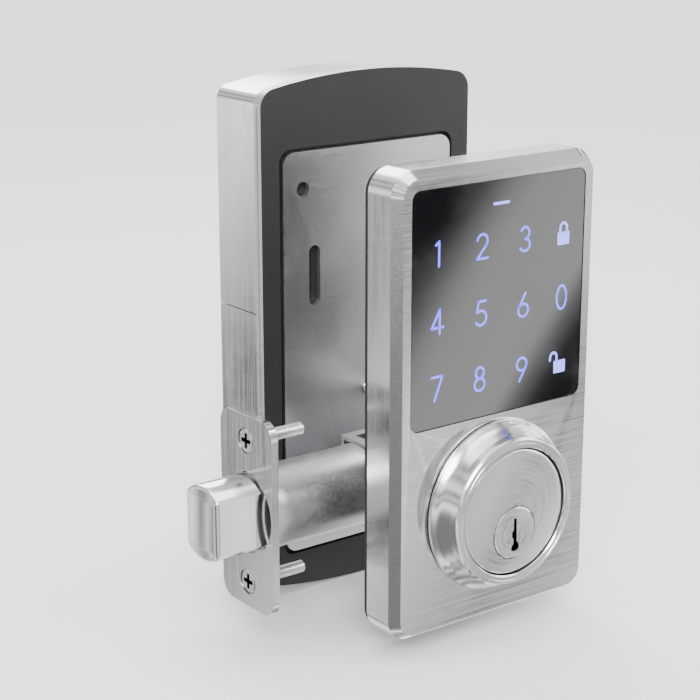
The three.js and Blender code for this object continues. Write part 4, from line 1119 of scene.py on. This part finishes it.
class DEADBOLT_OT_inside_housing(bpy.types.Operator):
    """Add the battery half's chassis rim, mounting plate, housing and battery cover"""

    bl_idname = "deadbolt.inside_housing"
    bl_label = "Inside housing"

    def execute(self, context):
        low, high = node_box("interior_housing")
        front, back = high[1], low[1]
        full = sizes().edge_round / MM
        seam = sizes().seam_round / MM / full
        outline = housing_outline(-35.4, 47.6, 4, -2, False)
        turn_hole = circle(8, 0, AXIS_Z, 48)
        pocket, well, foot = (circle(r, 0, COVER_SCREW_Z, 40) for r in (4.2, 2.0, 5.0))
        floor = front - 4.5
        inside = front - 1.8
        pocket_wall = [(pocket, floor), (well, floor), (well, floor - 2.6)]
        pocket_wall += [(foot, floor - 2.6), (foot, inside)]
        parts = tray(
            outline,
            ([(0, 0)], 1.0),
            1.8,
            back,
            front,
            [turn_hole, pocket],
            [[(turn_hole, inside)], pocket_wall],
        )
        # The pocket's walls take the third coat: near-black painted shade for the dark inside of the cover
        # screw's pocket.
        parts[-1] = (*parts[-1], 2)
        coats = ["nickel_flat", "nickel_side", "blackened_and_recess_shade"]
        rounding = {"round_by": full, "weigh": housing_edges(front, 47.0, seam), "walls": 0.5}
        piece("inside_housing", parts, coats, stands_for="interior_housing", **rounding)

        low, high = node_box("battery_cover")
        outline = housing_outline(47.9, 112, 2, 4, True)
        parts = open_tray(outline, 1.8, back, front, 47.9)
        rounding["weigh"] = housing_edges(front, 46.9, seam)
        piece("battery_lid", parts, coats[:2], "battery_cover", "battery_cover", **rounding)

        low, high = node_box("interior_chassis")
        rim = bowed_rectangle(76.6, -36.2, 112.8, 4.3, 4, 4)
        recess = rounded_rectangle(64, 124, 4, 0, 34, 8)
        spindle, cable_hole = circle(8.5, 0, AXIS_Z), circle(2.7, 17.4, -17.4, 24)
        bolts = [circle(5, 0, side * THROUGH_BOLT_Z, 32) for side in (-1, 1)]
        back_frame = plate(rim, low[1], 46.6, [recess])
        floor_sheet = plate(rim, 46.6, 48.2, [spindle, cable_hole, *bolts])
        skins = [(*p, 1) for p in back_frame[2:3] + floor_sheet[1:3]]
        dark = back_frame[:2] + back_frame[3:] + floor_sheet[:1] + floor_sheet[3:]
        boss = bar("y", 3, 47.2, high[1], 0, COVER_SCREW_Z, 28)
        posts = [bar("y", 1.8, 47.2, 49.7, 32, z, 20) for z in (-26, 40)]
        coats = ["moulding", "silver_moulding"]
        parts = [skins, dark, boss, posts]
        piece("chassis_rim", parts, coats, stands_for="interior_chassis", round_by=0.35)

        low, high = node_box("interior_mounting_plate")
        sheet = rounded_rectangle(high[0] - low[0], high[2] - low[2], 4, 0, (low[2] + high[2]) / 2, 8)
        holes = [circle(9.6, 0, AXIS_Z), circle(2.7, 17.4, -17.4, 24)]
        holes += [circle(2.4, 0, side * THROUGH_BOLT_Z, 24) for side in (-1, 1)]
        holes += [circle(2.2, side * 24, 84, 24) for side in (-1, 1)]
        holes += [rounded_rectangle(4, 18, 1.99, side * 20, 58, 8) for side in (-1, 1)]
        parts = plate(sheet, low[1], high[1], holes)
        piece("mounting_plate", parts, "plated", stands_for="interior_mounting_plate", round_by=0.2)
        for name, side in (("upper", 1), ("lower", -1)):
            node_name = f"through_bolt_{name}"
            low, high = node_box(node_name)
            screw = driven_screw(0, side * THROUGH_BOLT_Z, high[1], 1.95, 4.1, low[1], 1)
            piece(f"{node_name}_threaded", [screw], SCREW_AND_SOCKET_SHADE_COATS, stands_for=node_name, angle=20)
        low, high = node_box("cover_screw")
        screw = driven_screw(0, COVER_SCREW_Z, high[1], 1.4, 3.3, low[1], 1, "hex")
        piece("cover_screw_hex", [screw], SCREW_AND_SOCKET_SHADE_COATS, stands_for="cover_screw", angle=20)
        return {"FINISHED"}


def open_tray(outline, wall, back, front, open_z):
    """The battery cover: a tray whose lower end is left open, so its wall is a strip with a thickness."""
    normal = inward(outline)
    inner = outline + normal * wall
    lower = np.abs(outline[:, 1] - open_z) < 2.4
    inner[lower, 1] = outline[lower, 1]
    inner[lower, 0] = np.clip(outline[lower, 0], -37.5 + wall, 37.5 - wall)
    inside = front - wall
    start = np.flatnonzero(lower & ~np.roll(lower, 1))[0]
    order = np.roll(np.arange(len(outline)), -start)
    count = int(lower.sum())
    bottom, rest = order[:count], order[count - 1 :]
    rest = np.append(rest, order[0])
    o, n = outline, inner
    strips = [lift(o[rest], back), lift(o[rest], front), lift(n[rest], inside), lift(n[rest], back)]
    side = np.stack(strips)
    points = side.reshape(-1, 3)
    m = len(rest)
    faces = grid_faces(4, m, around=False)
    faces = [f for f in faces if not (m <= min(f) and max(f) < 3 * m)]
    back_rim = np.stack([lift(n[rest], back), lift(o[rest], back)])
    front_cap = cap(lift(o, front))
    inner_cap = cap(lift(n, inside))
    sill = np.stack([lift(o[bottom], front), lift(n[bottom], inside)])
    rim = back_rim.reshape(-1, 3), grid_faces(2, m, around=False)
    lip = sill.reshape(-1, 3), grid_faces(2, count, around=False)
    return [(points, faces), rim, front_cap, inner_cap, lip]


class DEADBOLT_OT_thumbturn(bpy.types.Operator):
    """Add the thumbturn: a turned disc carrying a waisted grip"""

    bl_idname = "deadbolt.thumbturn"
    bl_label = "Thumbturn"

    def execute(self, context):
        top = node_box("thumbturn")[1][1]
        seat, grip_foot, tall = 68.8, 71.3, 20.0
        outline = resampled(rounded_rectangle(11.2, 2 * tall, 1.6, steps=6), 220)
        flank = grip_foot + 9.6 * np.linspace(0, 1, 15) ** 1.6
        depth = np.concatenate([flank, [81.3, 81.65, 81.88, 82.0, 82.05]])
        inset = np.concatenate([np.zeros(15), [0.06, 0.24, 0.5, 0.8, 1.15]])
        s = outline[:, 1] / tall
        rings = []
        for y, shrink in zip(depth, inset):
            low_down = np.clip((top - y) / (top - grip_foot), 0, 1)
            waist = 3.6 + 8.2 * low_down**4.5
            tip = 5.6 - 0.5 * low_down
            half = waist + (tip - waist) * s**2
            reach = tall - 2.6 * low_down**3
            x = outline[:, 0] / 5.6 * (half - shrink)
            rings.append(np.stack([x, np.full(len(x), y), AXIS_Z + s * (reach - shrink)], -1))
        rings = np.stack(rings)
        grip = [skin(rings), cap(rings[0]), skin_to_centre(rings[-1], 0.45)]
        disc = [(0, 64.8), (7.6, 64.8), (7.6, seat), (14.5, seat), (15, seat + 0.35)]
        disc += [(15, 71.0), (14.7, 71.5), (14.0, 71.6), (0, 71.6)]
        turned_disc = turned(soft_profile(disc, [0.1, 0.1, 0.2, 0.2, 0.3, 0.2, 0.3]), 0, AXIS_Z, 96)
        shaft = box((-3, 54.6, AXIS_Z - 3), (3, 65, AXIS_Z + 3))
        parts = [tilted(p, REST_TURN) for p in [*grip, turned_disc, *shaft]]
        piece("thumbturn_grip", parts, "nickel_bright", "thumbturn", "thumbturn", angle=42)
        coat_node("thumbturn_washer", "plated")
        return {"FINISHED"}


def skin_to_centre(ring, rise):
    """A ring filled by smaller and smaller copies of itself, each higher by the rise times one minus
    the square of its share."""
    centre = ring.mean(0)
    shares = np.linspace(1, 0, 14)[:, None, None]
    up = np.array([0, rise, 0])
    return skin(centre + (ring - centre)[None] * shares + up * (1 - shares**2))


class DEADBOLT_OT_power(bpy.types.Operator):
    """Add the cells with their contacts, the holder, the boards, the button and the cable"""

    bl_idname = "deadbolt.power"
    bl_label = "Cells and boards"

    def execute(self, context):
        springs, plates = [], []
        for i in range(4):
            low, high = node_box(f"battery_cell_{i + 1}")
            y, z = (low[1] + high[1]) / 2, (low[2] + high[2]) / 2
            flip = -1 if i % 2 else 1
            r, half = 7.1, 25.25
            jacket = [(0, -half + 0.5), (5.9, -half + 0.5), (6.3, -half), (6.8, -half + 0.05)]
            jacket += [(r, -half + 0.5), (r, half - 12)]
            band = [(r, half - 12), (r, half - 2.1), (6.6, half - 1.5), (5.4, half - 1.45)]
            steel = [(5.4, half - 1.45), (5.2, half - 1.7), (2.9, half - 1.7)]
            steel += [(2.75, half - 0.3), (2.5, half), (0, half)]
            sections = []
            for profile, coat in ((jacket, 0), (band, 1), (steel, 2)):
                points, faces = turned(profile, sides=48)
                px, along, pz = points.T
                sections.append((np.stack([along * flip, y + px * flip, z + pz], -1), faces, coat))
            coats = ["jacket", "cell_band", "plated"]
            piece(f"cell_{i + 1}", sections, coats, stands_for=f"battery_cell_{i + 1}", angle=25)
            t = np.linspace(0, 1, 110)
            wide = 4.6 - 2.4 * t
            a = t * 2 * np.pi * 3.4
            coil = np.stack([-flip * (27.6 - 2.2 * t), y + wide * np.cos(a), z + wide * np.sin(a)], -1)
            springs.append(tube(coil, sizes().spring_wire / MM / 2, 10))
            outline = rounded_rectangle(11, 11, 2, 0, z, 6)
            for end in (-1, 1):
                for points, faces in plate(outline, 27.62, 27.85):
                    px, deep, pz = points.T
                    plates.append((np.stack([deep * end, np.clip(y + px, 50.2, 62), pz], -1), faces))
        piece("contact_springs", springs, "threaded")
        piece("contact_plates", plates, "plated", angle=30)
        coat_node("battery_holder", "moulding")
        coat_node("control_board", "board")
        coat_node("keypad_board", "board")
        coat_node("control_cable_socket", "nylon")
        coat_node("keypad_cable_socket", "nylon")
        coat_node("keypad_buzzer", "black_part")
        coat_node("keypad_light_guide", "guide")
        low, high = node_box("setting_button")
        foot, top = low[1], high[1]
        profile = [(0, foot), (1.7, foot), (1.8, foot + 0.1), (1.8, top - 0.5), (1.5, top - 0.12), (0, top)]
        x, z = (low[0] + high[0]) / 2, (low[2] + high[2]) / 2
        button = turned(soft_profile(profile, [0.1, 0.1, 0.3, 0.3]), x, z, 40)
        piece("button_cap", [button], "red_button", "setting_button", "setting_button")
        switch = box((21.35, 51.75, -4.05), (27.45, 57.55, 8.65))
        chip = box((22.95, 51.75, 13.95), (32.05, 53.15, 23.05))
        legs = []
        for k in range(9):
            for x0, x1 in ((22.2, 23.0), (32.0, 32.8)):
                legs.append(box((x0, 51.62, 14.3 + k), (x1, 51.9, 14.65 + k)))
        piece("board_parts", [switch, chip], "black_part", round_by=0.15)
        piece("chip_legs", legs, "plated")
        route = [
            (19, -6.1, 28.9), (19.2, -6.1, 22), (20.4, -6.1, 10), (20.7, -6.1, -3),
            (19.7, -5.8, -11.5), (18.1, -4.2, -16.3), (17.4, -0.8, -17.4), (17.4, 6, -17.4),
            (17.4, 22, -17.4), (17.4, 40, -17.4), (17.4, 47.6, -17.4), (17.6, 51.4, -18.5),
            (18.9, 53.7, -21.4), (21.2, 54, -25.2), (24.4, 54, -26),
        ]
        cable = tube(smooth_path(route, 160), 1.18, 20)
        piece("cable_sleeve", [cable], "sleeve", stands_for="keypad_cable", angle=60)
        return {"FINISHED"}


class DEADBOLT_OT_drive(bpy.types.Operator):
    """Finish the pins, gears, motor and bracket"""

    bl_idname = "deadbolt.drive"
    bl_label = "Drive and pins"

    def execute(self, context):
        coats = {
            "hub_gear": "acetal",
            "idler_gear": "acetal",
            "idler_axle": "plated",
            "motor_pinion": "brass",
            "motor": "plated",
            "gear_bracket": "plated",
            "pin_chamber_strip": "brass",
        }
        for i in range(1, 6):
            coats[f"key_pin_{i}"] = "brass"
            coats[f"driver_pin_{i}"] = "plated"
        for name, coat in coats.items():
            coat_node(name, coat)
        return {"FINISHED"}


# ---------- studio ----------
ROOM_GLOW = [
    (-6.0, 0.4),
    (-2.0, 0.65),
    (-0.5, 0.55),
    (1.0, 0.16),
    (2.0, 0.55),
    (3.2, 0.12),
    (4.4, 0.7),
    (5.3, 0.95),
    (5.85, 0.3),
    (6.1, 0.004),
    (6.45, 0.008),
    (6.7, 0.8),
    (7.0, 0.85),
    (7.1, 0.06),
    (7.2, 0.004),
    (7.45, 0.02),
    (7.65, 0.5),
    (7.9, 1.1),
    (8.4, 0.75),
    (8.9, 0.18),
    (9.4, 0.12),
]


def card(name, centre, size, aim, power):
    """A soft rectangular light looking at a point."""
    lamp = bpy.data.lights.new(name, "AREA")
    lamp.shape = "RECTANGLE"
    lamp.size, lamp.size_y = size
    lamp.energy = power
    made = bpy.data.objects.new(name, lamp)
    made.location = centre
    made.rotation_euler = (Vector(aim) - Vector(centre)).to_track_quat("-Z", "Y").to_euler()
    bpy.context.scene.collection.objects.link(made)
    return made


class DEADBOLT_OT_stage(bpy.types.Operator):
    """Add the floor, the lights, the room's glow and the camera"""

    bl_idname = "deadbolt.stage"
    bl_label = "Stage"

    def execute(self, context):
        stage = context.scene.deadbolt_stage
        floor_z = CAD_BOX[0][2] - 0.0004
        u = np.arange(96) * 2 * np.pi / 96
        radii = np.array([0.0, 0.5, 1.5, 4.0])[:, None]
        rings = np.stack([radii * np.cos(u), radii * np.sin(u), np.full((4, 96), floor_z)], -1)
        mesh = bpy.data.meshes.new("floor")
        points, faces = skin(rings / MM)
        mesh.from_pydata((points * MM).tolist(), [], faces)
        work = bmesh.new()
        work.from_mesh(mesh)
        bmesh.ops.remove_doubles(work, verts=work.verts, dist=1e-6)
        bmesh.ops.recalc_face_normals(work, faces=work.faces)
        work.to_mesh(mesh)
        work.free()
        floor = bpy.data.objects.new("floor", mesh)
        context.scene.collection.objects.link(floor)
        tree, shader, at = new_material("floor_paint")
        wash = node(tree, "ShaderNodeTexNoise", Vector=at, Scale=3.0, Detail=2.0)
        pale = tuple(stage.floor)
        lower = (*[c * 0.97 for c in pale], 1)
        tree.links.new(blend_colour(tree, wash.outputs[0], lower, (*pale, 1)), shader["Base Color"])
        tree.links.new(between(tree, wash.outputs[0], 0, 1, 0.55, 0.75), shader["Roughness"])
        distance = node(tree, "ShaderNodeVectorMath", {"operation": "LENGTH"}, _0=at).outputs["Value"]
        tree.links.new(between(tree, distance, 0.4, 1.0, 1.0, 0.0), shader["Alpha"])
        mesh.materials.append(MATERIALS["floor_paint"])
        floor.visible_glossy = False

        world = bpy.data.worlds.new("room")
        context.scene.world = world
        world.use_nodes = True
        tree = world.node_tree
        tree.nodes.clear()
        toward = node(tree, "ShaderNodeTexCoord").outputs["Generated"]
        split = node(tree, "ShaderNodeSeparateXYZ", Vector=toward).outputs
        warp = node(tree, "ShaderNodeTexNoise", Vector=toward, Scale=1.6, Detail=0.0).outputs[0]
        slope = math_node(tree, "MULTIPLY", math_node(tree, "ABSOLUTE", split[0]), 8.28)
        slope = math_node(tree, "MULTIPLY_ADD", split[2], -5.37, slope)
        slope = math_node(tree, "MULTIPLY_ADD", warp, 0.4, slope)
        glow = ramp(tree, between(tree, slope, -6, 10), [((t + 6) / 16, v) for t, v in ROOM_GLOW])
        seen = node(tree, "ShaderNodeLightPath").outputs["Is Camera Ray"]
        plain = (*stage.backdrop, 1)
        shade = blend_colour(tree, seen, glow, plain)
        ground = node(tree, "ShaderNodeBackground", Color=shade, Strength=stage.room_light)
        out = tree.nodes.new("ShaderNodeOutputWorld")
        tree.links.new(ground.outputs[0], out.inputs["Surface"])

        middle = (np.array(CAD_BOX[0]) + np.array(CAD_BOX[1])) / 2
        card("key_softbox", (-0.9, -1.1, 1.1), (1.0, 0.8), middle, 40)
        card("fill_softbox", (1.2, -0.6, 0.5), (0.9, 1.2), middle, 12)
        card("back_softbox", (0.5, 1.3, 0.9), (1.2, 0.8), middle, 22)
        card("top_softbox", (0.0, 0.0, 1.5), (1.2, 1.2), middle, 16)

        camera = bpy.data.cameras.new("camera")
        camera.lens = stage.lens
        camera.clip_start, camera.clip_end = 0.02, 20
        view = bpy.data.objects.new("camera", camera)
        context.scene.collection.objects.link(view)
        a, e = stage.azimuth, stage.elevation
        away = Vector((math.sin(a) * math.cos(e), -math.cos(a) * math.cos(e), math.sin(e)))
        view.location = Vector(middle) + away * stage.distance
        view.rotation_euler = (-away).to_track_quat("-Z", "Y").to_euler()
        context.scene.camera = view
        return {"FINISHED"}


class DEADBOLT_PT_pieces(bpy.types.Panel):
    """Lists the lock's settings and pieces."""

    bl_idname = "DEADBOLT_PT_pieces"
    bl_label = "Keypad deadbolt"
    bl_space_type = "VIEW_3D"
    bl_region_type = "UI"
    bl_category = "Deadbolt"

    def draw(self, context):
        scene = context.scene
        for group in (scene.deadbolt_finish, scene.deadbolt_sizes, scene.deadbolt_stage):
            for key in group.bl_rna.properties.keys():
                if key not in ("rna_type", "name"):
                    self.layout.prop(group, key)
        for operator in OPERATORS:
            self.layout.operator(operator.bl_idname)


OPERATORS = (
    DEADBOLT_OT_keypad_housing,
    DEADBOLT_OT_touch_panel,
    DEADBOLT_OT_key_cylinder,
    DEADBOLT_OT_bolt,
    DEADBOLT_OT_inside_housing,
    DEADBOLT_OT_thumbturn,
    DEADBOLT_OT_power,
    DEADBOLT_OT_drive,
    DEADBOLT_OT_stage,
)
CLASSES = (DEADBOLT_PG_finish, DEADBOLT_PG_sizes, DEADBOLT_PG_stage, *OPERATORS, DEADBOLT_PT_pieces)


def register():
    for made in CLASSES:
        bpy.utils.register_class(made)
    bpy.types.Scene.deadbolt_finish = PointerProperty(type=DEADBOLT_PG_finish)
    bpy.types.Scene.deadbolt_sizes = PointerProperty(type=DEADBOLT_PG_sizes)
    bpy.types.Scene.deadbolt_stage = PointerProperty(type=DEADBOLT_PG_stage)


def unregister():
    del bpy.types.Scene.deadbolt_stage
    del bpy.types.Scene.deadbolt_sizes
    del bpy.types.Scene.deadbolt_finish
    for made in reversed(CLASSES):
        bpy.utils.unregister_class(made)


def main():
    register()
    make_finishes()
    for operator in OPERATORS:
        group, name = operator.bl_idname.split(".")
        getattr(getattr(bpy.ops, group), name)()


if __name__ == "__main__":
    main()
